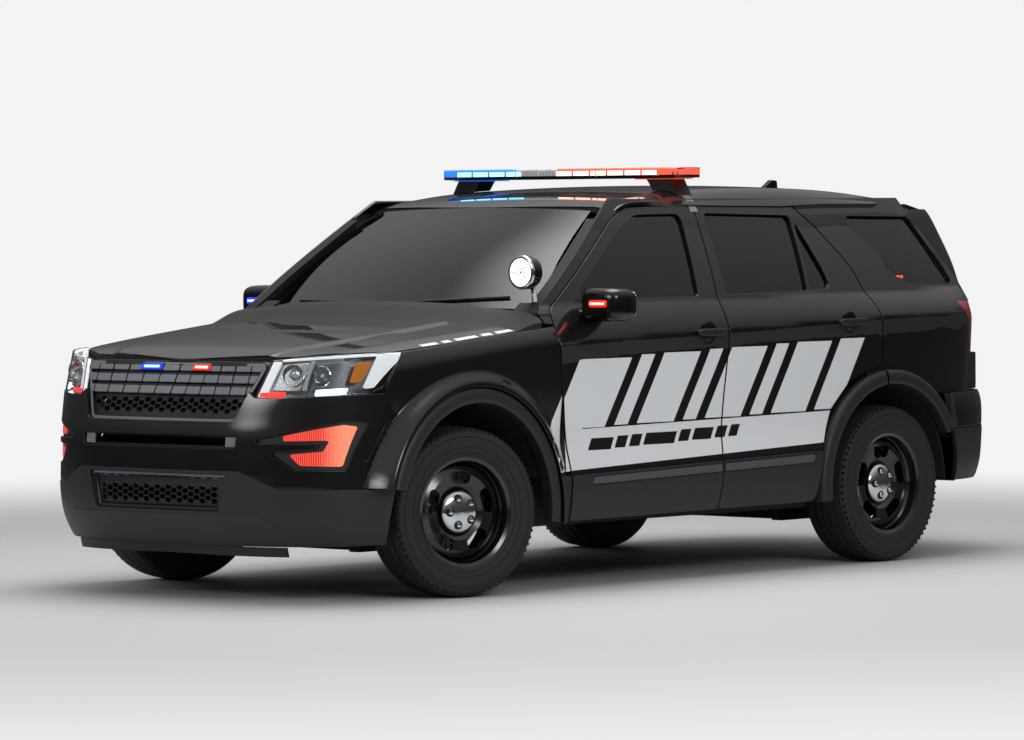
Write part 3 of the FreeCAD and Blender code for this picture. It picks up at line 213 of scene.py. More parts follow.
# Half width along the car at the shoulder, less HALF.
PLAN = spline((
    (-2330, -190), (-2200, -118), (-2050, -68), (-1900, -38), (-1700, -14), (-1450, -3),
    (-1000, 0), (0, 1), (1000, 0), (1300, -4), (1550, -14), (1750, -34), (1900, -62),
    (2000, -93), (2100, -146), (2180, -212), (2240, -290),
))
SHOULDER = spline(((-2200, 930), (-1900, 968), (-1000, 1058), (0, 1096), (1000, 1128),
                   (1900, 1150), (2240, 1155)))
WAIST = spline(((-1100, 1228), (0, 1235), (1000, 1250), (2240, 1268)))
SIDE_LOW = spline(((0.0, 40), (0.1, 20), (0.22, 8), (0.34, 9), (0.44, 22), (0.56, 23),
                   (0.8, 9), (1.0, 0)))
SILL_Z = 250.0
HOOD_EDGE = spline(((-2250, 1018), (-2100, 1036), (-1924, 1054), (-1500, 1098),
                    (-1000, 1142)))
HOOD_ROLL = 34.0
HOOD_DOME = 10.0
CREASE = 0.6
WINDOW = spline(((-1100, 868), (-900, 893), (-500, 913), (0, 918), (800, 915),
                 (1500, 893), (1750, 874), (1900, 848), (2043, 806), (2154, 728)))
LEAN = 198.0
LEAN_TOP = 1675.0
RAIL = spline(((-470, 1596), (-400, 1634), (-320, 1664), (-220, 1677), (0, 1679),
               (800, 1679), (1500, 1672), (1960, 1634), (2080, 1620)))
HOOD_MIDDLE = spline(((-2420, 985), (-2340, 1018), (-2250, 1052), (-2100, 1080),
                      (-1850, 1108), (-1600, 1134), (-1300, 1168), (-1000, 1206)))
ROOF_MIDDLE = spline(((-560, 1612), (-467, 1650), (-300, 1690), (0, 1728), (372, 1748),
                      (700, 1752), (1200, 1740), (1600, 1708), (1960, 1662),
                      (2080, 1642)))
TAIL = spline(((740, 2396), (840, 2404), (950, 2402), (1080, 2380), (1180, 2344),
               (1260, 2300), (1400, 2196), (1600, 2034), (1680, 1966)))
WRAP = spline(((0, 0), (250, 6), (450, 30), (600, 78), (700, 130), (780, 196),
               (840, 268)))


# ---------------------------------------------------------------- body surfaces
def low_side_x(y, z):
    """Half width of the body side below its shoulder."""
    f = (z - SILL_Z) / (SHOULDER(y) - SILL_Z)
    return HALF + PLAN(y) - SIDE_LOW(f)


def side_x(y, z):
    """Half width of the body side, from sill to roof rail."""
    top = SHOULDER(y)
    waist = WAIST(y)
    f = np.clip((z - top) / (waist - top), 0, 1)
    middle = HALF + PLAN(y) - (HALF + PLAN(y) - WINDOW(y)) * (0.5 * f + 0.5 * f * f)
    g = (z - waist) / (LEAN_TOP - waist)
    high = WINDOW(y) - LEAN * (0.82 * g + 0.18 * g * g)
    return np.where(z <= top, low_side_x(y, z), np.where(z <= waist, middle, high))


def fender_x(y, z):
    """Half width of the front fender with the flare round its wheel."""
    top = SHOULDER(y)
    f = np.maximum((z - top) / (HOOD_EDGE(y) - top), 0)
    base = np.where(z <= top, low_side_x(y, z), HALF + PLAN(y) - HOOD_ROLL * f * f)
    radius = np.hypot(y - FRONT_AXLE_Y, z - AXLE_Z)
    outer = ARCH_RADIUS + ARCH_RING + FLARE_WIDTH + 8
    flare = smooth((outer - radius) / (FLARE_WIDTH - 6))
    return base + (HALF + 17 - base) * flare


def hood_edge_x(y):
    return HALF + PLAN(y) - HOOD_ROLL


def hood_z(x, y):
    """Height of the hood, raised in the middle between two creases."""
    u = np.minimum(1.05, np.abs(x) / hood_edge_x(y))
    middle = HOOD_MIDDLE(y)
    drop = middle - HOOD_EDGE(y) - HOOD_DOME
    side = np.maximum(0, (u - 0.86) / 0.14)
    dome = HOOD_DOME * smooth((u - CREASE + 0.03) / 0.06)
    return middle - dome - drop * (0.42 * u * u + 0.58 * side ** 1.7)


def roof_z(x, y):
    """Height of the roof skin."""
    u = np.minimum(1.05, np.abs(x) / (WINDOW(y) - LEAN))
    side = np.maximum(0, (u - 0.88) / 0.12)
    middle = ROOF_MIDDLE(y) - 20 * u * u
    return middle - (middle - RAIL(y)) * side ** 1.8


def tail_y(x, z):
    """Distance back of the rear face."""
    squeeze = 1 + np.maximum(0, z - 1250) / 350 * 0.16
    return TAIL(z) - WRAP(np.abs(x) * squeeze)


class Wrap:
    """A bumper surface: a plan line swept up through levels of (z, setback, narrow)."""

    def __init__(self, plan, levels, direction):
        xs, ys = np.array(plan, float).T
        count = len(plan)
        stations = np.arange(count)
        self.x = spline(tuple(zip(stations, xs)))
        self.y = spline(tuple(zip(stations, ys)))
        self.ends = count - 1
        zs, setbacks, narrows = np.array(levels, float).T
        self.setback = spline(tuple(zip(zs, setbacks)))
        self.narrow = spline(tuple(zip(zs, narrows)))
        self.direction = direction
        fine = np.linspace(0, self.ends, 400)
        length = np.hypot(np.diff(self.x(fine)), np.diff(self.y(fine)))
        self.fine = fine
        self.along = np.concatenate([[0], np.cumsum(length)])
        self.wide = self.x(fine)

    def station(self, a):
        return np.interp(np.abs(a), self.along, self.fine)

    def across(self, x):
        """Length along the plan line at which it is x from the middle."""
        return np.sign(x) * np.interp(np.abs(x), self.wide, self.along)

    def __call__(self, a, z):
        k = self.station(a)
        f = k / self.ends
        x = self.x(k) - self.narrow(z) * f
        y = self.y(k) - self.direction * self.setback(z) * (1 - 0.75 * f)
        return np.stack([np.sign(a) * x, y, z + 0 * a], -1)


FRONT_PLAN = ((0, -2512.5), (220, -2509), (430, -2492), (600, -2442), (730, -2365),
              (825, -2262), (885, -2150), (925, -2030), (955, -1900))
REAR_PLAN = ((0, 2514.5), (280, 2504), (480, 2462), (640, 2386), (760, 2276),
             (842, 2160), (900, 2030), (940, 1880), (962, 1720))
FRONT = Wrap(FRONT_PLAN, ((470, 0, 0), (560, -2, 2), (640, 0, 2), (700, 4, 0),
                          (770, 20, -2), (870, 46, -4), (930, 66, -6)), -1)
FRONT_LOW = Wrap(FRONT_PLAN, ((240, 78, 60), (300, 36, 30), (384, 4, 6), (480, -4, -6),
                              (560, -6, -6)), -1)
GRILLE = Wrap(FRONT_PLAN[:5], ((380, 4, 6), (545, 2, 0), (650, 10, 0), (764, 34, 0),
                               (850, 74, 0), (940, 124, 0), (1020, 172, 0)), -1)
LAMP = Wrap(FRONT_PLAN, ((850, 44, -4), (900, 70, -6), (960, 100, -8),
                         (1060, 150, -12)), -1)
REAR = Wrap(REAR_PLAN, ((590, 0, 0), (680, -2, 0), (740, 12, 4), (785, 46, 12)), 1)
REAR_LOW = Wrap(REAR_PLAN, ((350, 60, 30), (420, 20, 12), (500, 4, 2), (605, -4, -4)), 1)


def on_wrap(wrap, outline, step=10.0):
    """An (x, z) outline laid along a wrap's plan line."""
    polygon = curve(outline, step)
    return distinct(np.stack([wrap.across(polygon[:, 0]), polygon[:, 1]], -1))


def distinct(polygon):
    """The polygon without points that repeat the one before."""
    gap = np.linalg.norm(polygon - np.roll(polygon, 1, axis=0), axis=1)
    return polygon[gap > 0.05]


def crossing(before, low, high, halvings):
    """Where a test turns false, one value for each place of the arrays."""
    for _ in range(halvings):
        middle = (low + high) / 2
        short = before(middle)
        low = np.where(short, middle, low)
        high = np.where(short, high, middle)
    return low


def reach(wrap, limit_y, zs):
    """Length along the wrap at which it comes to a given distance back."""
    return crossing(lambda a: (wrap(a, zs)[:, 1] - limit_y) * -wrap.direction < 0,
                    np.zeros(len(zs)), np.full(len(zs), wrap.along[-1]), 30)


def from_side(surface):
    """Place on the left side for (y, z)."""
    return lambda y, z: np.stack([surface(y, z), y, z], -1)


def from_above(surface):
    return lambda x, y: np.stack([x, y, surface(x, y)], -1)


def from_behind(x, z):
    return np.stack([x, tail_y(x, z), z], -1)


# ---------------------------------------------------------------- outlines
# All outlines are (a, b, corner radius).
def box_outline(a0, a1, b0, b1, radius=0):
    """Four-sided outline between two values of each coordinate."""
    return (a0, b0, radius), (a1, b0, radius), (a1, b1, radius), (a0, b1, radius)


def tapered(low_half, low, top_half, top, radius, top_radius=None):
    """Four-sided outline, even about the middle, with its own width at each height."""
    if top_radius is None:
        top_radius = radius
    return ((-low_half, low, radius), (low_half, low, radius),
            (top_half, top, top_radius), (-top_half, top, top_radius))


# The line between the doors, from the sill up to the roof.
PILLAR = ((46, 300, 20), (66, 443, 60), (80, 601, 0), (93, 812, 0), (112, 1033, 0),
          (118, 1236, 0), (166, 1676, 30))
FRONT_DOOR = ((-955, 292, 25), *PILLAR, (-250, 1673, 150), (-430, 1600, 250),
              (-1002, 1208, 60), (-1032, 1111, 40), (-1004, 916, 0), (-968, 640, 120),
              (-950, 476, 120))
REAR_DOOR = (PILLAR[0], (548, 302, 0), (742, 306, 40), (800, 560, 0), (870, 720, 0),
             (1000, 842, 0), (1130, 890, 0), (1246, 905, 20), (1238, 1010, 100),
             (1222, 1172, 150), (1150, 1372, 300), (992, 1552, 200), (860, 1668, 110),
             *PILLAR[:0:-1])
FRONT_WINDOW = ((-842, 1250, 25), (-8, 1253, 22), (54, 1620, 28), (-256, 1618, 150),
                (-392, 1560, 200))
REAR_WINDOW = ((188, 1258, 22), (770, 1266, 8), (826, 1610, 20), (216, 1622, 28))
REAR_PANE = ((790, 1268, 8), (952, 1274, 40), (930, 1360, 60), (846, 1590, 8))
QUARTER_WINDOW = ((1204, 1606, 28), (1756, 1598, 24), (1972, 1276, 20),
                  (1548, 1284, 90))
FENDER = (
    (-957, 292, 20), (-950, 476, 120), (-968, 640, 120), (-1004, 916, 0),
    (-1032, 1111, 0), (-1040, 1240, 0), (-2060, 1200, 0), (-1968, 1054, 0),
    (-2050, 898, 0), (-2010, 800, 0), (-1560, 520, 0), (-1130, 292, 0),
)
SIDE_FOOT, SIDE_TOP = 560.0, 1689.0
SIDE_ZONE = ((-1078, 1190, 0), (-1030, 1236, 0), (-452, 1652, 0), (-400, SIDE_TOP, 0),
             (2148, SIDE_TOP, 0), (2300, 1262, 0), (2300, SIDE_FOOT, 0),
             (1120, SIDE_FOOT, 0), (1120, 1196, 0))
HOOD = (
    (-600, -2262, 0), (0, -2345, 900), (600, -2262, 0), (780, -2150, 0), (888, -1978, 0),
    (930, -1700, 0), (945, -1400, 0), (946, -1078, 30), (500, -1134, 900),
    (0, -1152, 2500), (-500, -1134, 900), (-946, -1078, 30), (-945, -1400, 0),
    (-930, -1700, 0), (-888, -1978, 0), (-780, -2150, 0),
)
ROOF = (
    (-740, -384, 0), (-632, -398, 0), (0, -468, 2500), (632, -398, 0), (740, -384, 0),
    (740, 800, 0), (715, 1500, 0), (640, 1858, 30), (300, 1922, 0), (0, 1938, 0),
    (-300, 1922, 0), (-640, 1858, 30), (-715, 1500, 0), (-740, 800, 0),
)
GATE = (
    (-590, 776, 40), (590, 776, 40), (668, 900, 60), (664, 1230, 60), (640, 1290, 60),
    (566, 1636, 20), (-566, 1636, 20), (-640, 1290, 60), (-664, 1230, 60),
    (-668, 900, 60),
)
BUMPER_TOP = ((0, 900), (480, 900), (522, 866), (600, 862), (990, 884))
VALANCE_TOP = ((-960, 200, 0), (960, 200, 0), (960, 480, 0), (660, 480, 0),
               (470, 558, 0), (-470, 558, 0), (-660, 480, 0), (-960, 480, 0))
UPPER_GRILLE = tapered(436, 764, 548, 1012, 30, 25)
LOWER_GRILLE = tapered(372, 386, 410, 545, 15)
SLOT = tapered(455, 652, 462, 708, 12)
FOG = ((548, 692, 10), (850, 766, 12), (892, 760, 12), (850, 560, 12), (700, 566, 14),
       (600, 640, 8), (770, 652, 8), (780, 672, 8), (560, 676, 8))
FOG_LENS = ((652, 707, 6), (836, 752, 8), (866, 744, 8), (836, 578, 10), (714, 584, 12),
            (676, 630, 6), (786, 642, 8), (804, 688, 8), (656, 686, 6))
HEADLAMP = ((556, 1020, 12), (522, 868, 14), (600, 862, 0), (905, 884, 20),
            (930, 1052, 20), (700, 1034, 0))
PLATE = box_outline(-168, 168, 930, 1082, 12)
CLADDING_LINE = spline(((-1200, 487), (900, 541)))
REAR_SCREEN = tapered(585, 1262, 522, 1596, 50, 40)


def curve(points, step=14.0):
    """Closed outline as a polygon, corners rounded and sides divided to the step."""
    count = len(points)
    corners = []
    for i in range(count):
        a, b, radius = points[i]
        here = np.array((a, b), float)
        back = np.array(points[i - 1][:2], float) - here
        on = np.array(points[(i + 1) % count][:2], float) - here
        len_back = np.linalg.norm(back)
        len_on = np.linalg.norm(on)
        back /= len_back
        on /= len_on
        half = math.acos(max(-1.0, min(1.0, float(back @ on)))) / 2
        if radius <= 0 or half > math.radians(89.5):
            corners.append([here])
            continue
        reach = min(radius / math.tan(half), 0.48 * len_back, 0.48 * len_on)
        radius = reach * math.tan(half)
        middle = back + on
        centre = here + middle / np.linalg.norm(middle) * radius / math.sin(half)
        start = here + back * reach - centre
        end = here + on * reach - centre
        sweep = math.pi - 2 * half
        parts = max(2, int(radius * sweep / step) + 1, int(sweep / 0.28) + 1)
        turn = start[0] * end[1] - start[1] * end[0]
        way = 1.0 if turn > 0 else -1.0
        arc = []
        for k in range(parts + 1):
            angle = way * sweep * k / parts
            cos, sin = math.cos(angle), math.sin(angle)
            arc.append(centre + (cos * start[0] - sin * start[1],
                                 sin * start[0] + cos * start[1]))
        corners.append(arc)
    out = []
    for i in range(count):
        out.extend(corners[i])
        start = corners[i][-1]
        end = corners[(i + 1) % count][0]
        parts = max(1, int(np.linalg.norm(end - start) / step + 0.5))
        for k in range(1, parts):
            out.append(start + (end - start) * k / parts)
    return np.array(out)


def circle(centre, radius, step=12.0):
    count = int(2 * math.pi * radius / step)
    angles = np.arange(count) / count * 2 * math.pi
    return np.stack([centre[0] + radius * np.cos(angles),
                     centre[1] + radius * np.sin(angles)], -1)


def arch(axle_y, extra=0.0, step=12.0):
    """Circle round a wheel, outside its arch ring by the extra."""
    return circle((axle_y, AXLE_Z), ARCH_RADIUS + ARCH_RING + extra, step)


def grown(polygon, distance):
    """The polygon moved outwards by the distance."""
    before = np.roll(polygon, 1, axis=0)
    after = np.roll(polygon, -1, axis=0)
    area = np.sum(polygon[:, 0] * after[:, 1] - after[:, 0] * polygon[:, 1])
    sign = 1.0 if area > 0 else -1.0
    edge = unit(after - polygon)
    last = unit(polygon - before)
    side_a = np.stack([last[:, 1], -last[:, 0]], -1) * sign
    side_b = np.stack([edge[:, 1], -edge[:, 0]], -1) * sign
    mean = unit(side_a + side_b)
    mitre = np.maximum(0.4, np.sum(mean * side_a, axis=1))
    return polygon + mean * (distance / mitre)[:, None]


def inside(points, polygon):
    """Which points lie within the polygon."""
    result = np.zeros(len(points), bool)
    x, y = points[:, 0], points[:, 1]
    x0, y0 = polygon[-1]
    for x1, y1 in polygon:
        if y0 != y1:
            crosses = (y0 > y) != (y1 > y)
            result ^= crosses & (x < (x1 - x0) * (y - y0) / (y1 - y0) + x0)
        x0, y0 = x1, y1
    return result


# ---------------------------------------------------------------- shells
class Data:
    """Points in millimetres, faces and one normal for each point."""

    def __init__(self, points, faces, normals):
        self.points = np.asarray(points, float)
        self.faces = [tuple(f) for f in faces]
        self.normals = np.asarray(normals, float)

    def mirrored(self):
        flip = np.array((-1.0, 1.0, 1.0))
        return Data(self.points * flip, [f[::-1] for f in self.faces],
                    self.normals * flip)

    def shifted(self, *offset):
        return Data(self.points + offset, self.faces, self.normals)

    def turned(self, angle):
        """Turned about the X axis."""
        return self.moved(Matrix.Rotation(angle, 4, "X"))

    def moved(self, matrix):
        """Turned and shifted by a 4 x 4 matrix in millimetres."""
        m = np.array(matrix)
        return Data(self.points @ m[:3, :3].T + m[:3, 3], self.faces,
                    self.normals @ m[:3, :3].T)


def merged(parts):
    points, faces, normals, count = [], [], [], 0
    for part in parts:
        points.append(part.points)
        normals.append(part.normals)
        faces.extend(tuple(i + count for i in f) for f in part.faces)
        count += len(part.points)
    return Data(np.concatenate(points), faces, np.concatenate(normals))


def unit(vectors):
    return vectors / np.maximum(np.linalg.norm(vectors, axis=1), 1e-9)[:, None]


def normals_of(place, points, reach=2.0):
    a, b = points[:, 0], points[:, 1]
    da = place(a + reach, b) - place(a - reach, b)
    db = place(a, b + reach) - place(a, b - reach)
    return unit(np.cross(da, db))


def clear_of(points, others, distance):
    """The points that lie farther than a distance from all the others."""
    near = np.full(len(points), 1e9)
    for chunk in np.array_split(others, max(1, len(others) // 64)):
        gap = np.linalg.norm(points[:, None] - chunk[None], axis=2).min(1)
        near = np.minimum(near, gap)
    return points[near > distance]


def triangulated(keep, drop, step, rows):
    """Points and anticlockwise triangles that fill the plane inside every outline of
    keep and outside every one of drop."""
    loops = [*keep, *drop]
    corners = np.concatenate(loops)
    edges = []
    start = 0
    for loop in loops:
        count = len(loop)
        edges += [(start + i, start + (i + 1) % count) for i in range(count)]
        start += count
    low = np.max([p.min(0) for p in keep], axis=0)
    high = np.min([p.max(0) for p in keep], axis=0)
    counts = [max(2, int((high[k] - low[k]) / step)) for k in (0, 1)]
    grid_a, grid_b = np.meshgrid(*(
        low[k] + (np.arange(counts[k]) + 0.5) * (high[k] - low[k]) / counts[k]
        for k in (0, 1)))
    grid = np.stack([grid_a.ravel(), grid_b.ravel()], -1)

    def wanted(points):
        good = np.ones(len(points), bool)
        for k, loop in enumerate(loops):
            within = inside(points, loop)
            good &= within if k < len(keep) else ~within
        return good

    grid = clear_of(grid[wanted(grid)], corners, 0.45 * step)
    if rows is not None:
        rows = clear_of(rows[wanted(rows)], corners, 2.0)
        grid = np.concatenate([rows, clear_of(grid, rows, 0.45 * step)])
    verts = [Vector(p) for p in np.concatenate([corners, grid])]
    verts, _, triangles, *_ = delaunay_2d_cdt(verts, edges, [], 0, 1e-4)
    flat = np.array([tuple(v) for v in verts])
    triangles = np.array([tuple(t) for t in triangles])
    triangles = triangles[wanted(flat[triangles].mean(1))]
    used, back = np.unique(triangles, return_inverse=True)
    flat = flat[used]
    triangles = back.reshape(triangles.shape)
    turned = flat[triangles]
    first = turned[:, 1] - turned[:, 0]
    second = turned[:, 2] - turned[:, 0]
    clockwise = first[:, 0] * second[:, 1] - first[:, 1] * second[:, 0] < 0
    triangles[clockwise] = triangles[clockwise][:, ::-1]
    return flat, triangles


def shell(place, keep, drop=(), step=18.0, roll=2.2, lip=12.0, sign=1, lift=0.0,
          thick=0.0, rows=None):
    """Skin over a surface: place maps the plane to it, inside every outline of keep
    and outside every one of drop. Its edges roll over and turn in by lip. A closed
    plate has a thickness instead. rows are points that the mesh has to pass through."""
    flat, triangles = triangulated([grown(p, -roll) for p in keep],
                                   [grown(p, roll) for p in drop], step, rows)
    points = place(flat[:, 0], flat[:, 1])
    normals = normals_of(place, flat) * sign
    points = points + normals * lift
    if sign < 0:
        triangles = triangles[:, ::-1]
    half_edges = {}
    for t in triangles:
        for i in range(3):
            half_edges[(t[i], t[(i + 1) % 3])] = True
    rim = [e for e in half_edges if (e[1], e[0]) not in half_edges]
    out = np.zeros_like(points)
    for i, j in rim:
        along = points[j] - points[i]
        away = np.cross(along / max(np.linalg.norm(along), 1e-9), normals[i])
        out[i] += away
        out[j] += away
    ring = sorted({i for e in rim for i in e})
    index = {i: k for k, i in enumerate(ring)}
    base = points[ring]
    up = normals[ring]
    away = unit(out[ring])
    rings = [(base, up)]
    for k in (1, 2, 3):
        angle = math.pi / 6 * k
        rings.append((base + away * roll * math.sin(angle)
                      - up * roll * (1 - math.cos(angle)),
                      up * math.cos(angle) + away * math.sin(angle)))
    depth = thick if thick else lip
    rings.append((base + away * roll - up * (roll + depth), away))
    if thick:
        rings.append((base - up * (2 * roll + depth), -up))
    all_points = [points]
    all_normals = [normals]
    faces = [tuple(t) for t in triangles]
    total = len(points)
    for k, (ring_points, ring_normals) in enumerate(rings):
        all_points.append(ring_points)
        all_normals.append(ring_normals)
        if k:
            here = total + k * len(ring)
            last = here - len(ring)
            faces += [(last + index[j], last + index[i], here + index[i],
                       here + index[j]) for i, j in rim]
    if thick:
        total += len(rings) * len(ring)
        all_points.append(points - normals * (2 * roll + depth))
        all_normals.append(-normals)
        faces += [tuple(total + i for i in t[::-1]) for t in triangles]
    return Data(np.concatenate(all_points), faces, np.concatenate(all_normals))


def linked(name, points, faces, finish):
    """Object of one finish from points in metres."""
    mesh = bpy.data.meshes.new(name)
    mesh.from_pydata(points, [], faces)
    mesh.materials.append(finish)
    obj = bpy.data.objects.new(name, mesh)
    bpy.context.collection.objects.link(obj)
    return obj


def put(name, data, finish, body):
    """Makes the object and lets it ride on the body."""
    obj = linked(name, (data.points * MM).tolist(), data.faces, finish)
    obj.data.shade_smooth()
    obj.data.normals_split_custom_set_from_vertices(unit(data.normals).tolist())
    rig.ride(obj, body)
    return obj


def pair(name, data, finish, body, opposite=None):
    """Left piece and its mirrored right one, on one body or on two."""
    left = put(name + "_left", data, finish, body)
    right = put(name + "_right", data.mirrored(), finish, opposite or body)
    return left, right


def door_pair(door, piece, data, finish):
    """A piece on the left door and its mirror image on the right one."""
    return pair(door + "_" + piece, data, finish, door + "_left", door + "_right")


def extruded(section, x0, x1):
    """Bar along X with flat ends: section is (y, z) points, anticlockwise seen from +X."""
    section = np.array(section, float)
    count = len(section)
    points, faces, normals = [], [], []
    for i in range(count):
        a, b = section[i], section[(i + 1) % count]
        way = b - a
        normal = (0, way[1], -way[0])
        base = len(points)
        points += [(x0, *a), (x1, *a), (x1, *b), (x0, *b)]
        normals += [normal] * 4
        faces.append((base, base + 1, base + 2, base + 3))
    for x, side in ((x0, -1), (x1, 1)):
        base = len(points)
        points += [(x, *p) for p in section]
        normals += [(side, 0, 0)] * count
        order = range(base, base + count)
        faces.append(tuple(order) if side > 0 else tuple(reversed(order)))
    return Data(points, faces, unit(np.array(normals, float)))


def block(x0, x1, y0, y1, z0, z1):
    return extruded(((y0, z0), (y1, z0), (y1, z1), (y0, z1)), x0, x1)


def lathe(profile, count=64, smooth_angle=35.0):
    """Piece turned about X from (x, radius) points, in order along the outside."""
    profile = np.array(profile, float)
    way = np.diff(profile, axis=0)
    flat = unit(np.stack([-way[:, 1], way[:, 0]], -1))
    angles = np.arange(count) / count * 2 * math.pi
    points, faces, normals = [], [], []
    limit = math.cos(math.radians(smooth_angle))
    for i in range(len(way)):
        ends = []
        for end, other in ((i, i - 1), (i + 1, i + 1)):
            normal = flat[i]
            if 0 <= other < len(flat) and flat[i] @ flat[other] > limit:
                normal = unit((flat[i] + flat[other])[None])[0]
            ends.append((profile[end], normal))
        base = len(points)
        for (x, r), (nx, nr) in ends:
            for angle in angles:
                cos, sin = math.cos(angle), math.sin(angle)
                points.append((x, r * cos, r * sin))
                normals.append((nx, nr * cos, nr * sin))
        for k in range(count):
            n = (k + 1) % count
            faces.append((base + k, base + n, base + count + n, base + count + k))
    return Data(points, faces, np.array(normals))


def rod(a, b, radius, count=16):
    """Round bar between two points with flat ends."""
    a, b = np.array(a, float), np.array(b, float)
    length = np.linalg.norm(b - a)
    piece = lathe(((0, 0), (0, radius), (length, radius), (length, 0)), count)
    return placed(piece, a, b - a)


def placed(piece, origin, axis, roll=0.0):
    """Turns a piece's X axis to the given direction and moves it to the origin."""
    axis = Vector(axis).normalized()
    turn = Vector((1, 0, 0)).rotation_difference(axis).to_matrix()
    turn = turn @ Matrix.Rotation(roll, 3, "X")
    matrix = np.eye(4)
    matrix[:3, :3] = np.array(turn)
    matrix[:3, 3] = origin
    return piece.moved(matrix)


def stand(place, a, b, lift=0.0):
    """Point and outward direction of a surface at (a, b)."""
    spot = np.array(((a, b),), float)
    normal = normals_of(place, spot)[0]
    return place(spot[:, 0], spot[:, 1])[0] + normal * lift, normal


# ---------------------------------------------------------------- finishes
def srgb(text, alpha=True):
    """Linear colour from an sRGB hex value."""
    values = [int(text[i:i + 2], 16) / 255 for i in (0, 2, 4)]
    linear = [v / 12.92 if v <= 0.04045 else ((v + 0.055) / 1.055) ** 2.4
              for v in values]
    return tuple(linear + [1.0]) if alpha else tuple(linear)


def add(tree, kind, values=None, links=None, **options):
    """Adds one node: options are its own settings, values and links fill its sockets."""
    item = tree.nodes.new(kind)
    for key, value in options.items():
        setattr(item, key, value)
    for key, value in (values or {}).items():
        item.inputs[key].default_value = value
    for key, (source, output) in (links or {}).items():
        tree.links.new(source.outputs[output], item.inputs[key])
    return item


def finish(name, colour, roughness, grain=None, **values):
    """Principled material. grain is (grain width in mm, bump height in mm)."""
    if name in bpy.data.materials:
        return bpy.data.materials[name]
    material = bpy.data.materials.new(name)
    material.use_nodes = True
    tree = material.node_tree
    tree.nodes.clear()
    colour = srgb(colour) if isinstance(colour, str) else (*colour, 1.0)
    settings = {"Base Color": colour, "Roughness": roughness}
    settings.update(values)
    shader = add(tree, "ShaderNodeBsdfPrincipled", settings)
    if grain:
        width, height = grain
        place = add(tree, "ShaderNodeTexCoord")
        noise = add(tree, "ShaderNodeTexNoise", {"Scale": 1 / (width * MM), "Detail": 2.0},
                    {"Vector": (place, "Object")})
        bump = add(tree, "ShaderNodeBump", {"Strength": 1.0, "Distance": height * MM},
                   {"Height": (noise, "Fac")})
        tree.links.new(bump.outputs["Normal"], shader.inputs["Normal"])
    add(tree, "ShaderNodeOutputMaterial", links={"Surface": (shader, "BSDF")})
    return material


def enamel(context):
    # Two-coat black enamel: nearly black under a clear glossy coat.
    return finish("black_enamel", context.scene.suv_finish.body, 0.4,
                  **{"Coat Weight": 1.0, "Coat Roughness": 0.02, "Coat IOR": 1.5,
                     "Specular IOR Level": 0.15})


def moulding():
    # Grained polypropylene as moulded: dark grey with a dull sheen.
    return finish("grained_polypropylene", "1D1E20", 0.48, (1.4, 0.05), IOR=1.49)


def gloss_plastic():
    # Moulded ABS, left glossy: pillar covers, mirror shells and handles.
    return finish("gloss_abs", "0A0A0B", 0.16, IOR=1.53)


def rubber():
    # Vulcanised tyre rubber: near black, rough.
    return finish("tyre_rubber", "17181A", 0.72, IOR=1.52)


def wheel_enamel():
    # Baked black enamel on pressed steel.
    return finish("baked_enamel", "0C0C0D", 0.22, IOR=1.5,
                  **{"Coat Weight": 0.6, "Coat Roughness": 0.08})


def tinted_glass():
    # Privacy glass: smooth, dark grey all through.
    return finish("tinted_glass", "3A4043", 0.0, IOR=1.52,
                  **{"Transmission Weight": 1.0})


def satin_frame():
    # Moulded ABS in satin charcoal: grille bars and surrounds.
    return finish("satin_abs", "6E7177", 0.36, IOR=1.53)


def light_plastic():
    # Pale grey moulded ABS: end blocks of the bumper slot.
    return finish("pale_abs", "8A8D90", 0.45, IOR=1.53)


def chrome():
    # Bright chrome plate.
    return finish("chrome_plate", "D8DADC", 0.08, Metallic=1.0)


def machined_iron():
    # Brake disc: machined grey iron, satin.
    return finish("machined_iron", "D8DADC", 0.5, Metallic=0.3)


def clear_cover():
    # Moulded polycarbonate: clear, smooth.
    return finish("clear_polycarbonate", "F4F6F7", 0.02, IOR=1.58,
                  **{"Transmission Weight": 1.0})


def red_lens():
    # Red polymethyl methacrylate lens over a bright back: deep red and glossy.
    return finish("red_acrylic", "8E0F12", 0.12, IOR=1.49,
                  **{"Coat Weight": 1.0, "Emission Color": srgb("C01414"),
                     "Emission Strength": 0.12})


def amber_lens():
    # Amber acrylic side marker.
    return finish("amber_acrylic", "D07A14", 0.15, IOR=1.49,
                  **{"Emission Color": srgb("E08A1C"), "Emission Strength": 0.25})


def lit(name, colour, strength):
    # A lit diode or its diffuser.
    return finish("lit_" + name, colour, 0.3,
                  **{"Emission Color": srgb(colour), "Emission Strength": strength})


def film(context):
    # Cast vinyl film: pale silver, slightly soft.
    return finish("silver_vinyl", context.scene.suv_finish.graphic, 0.32,
                  **{"Coat Weight": 0.5, "Coat Roughness": 0.1})


def black_plastic():
    # Moulded polypropylene: black, finely grained.
    return finish("black_polypropylene", "121314", 0.5, IOR=1.49)


def black_film():
    # Black vinyl film.
    return finish("black_vinyl", "060607", 0.35, IOR=1.5)


def strip_finish():
    # Rubbing strip: charcoal plastic, smoother than the cladding.
    return finish("rubbing_strip", "4A4C50", 0.4, IOR=1.53)


def dark_reflector():
    # Metallised plastic with a smoked lacquer.
    return finish("smoked_reflector", "70757B", 0.25, Metallic=1.0)


def bright_reflector():
    # Metallised plastic, moulded in fine facets.
    return finish("bright_reflector", "C9CCCF", 0.22, grain=(9.0, 0.35), Metallic=1.0)


def lamp_white():
    # Opal light guide, faintly lit.
    return lit("opal", "F4F6F8", 0.55)


def lamp_red():
    return lit("red_bar", "FF1A08", 1.1)


def lamp_blue():
    return lit("blue_bar", "CFE6FF", 4.0)


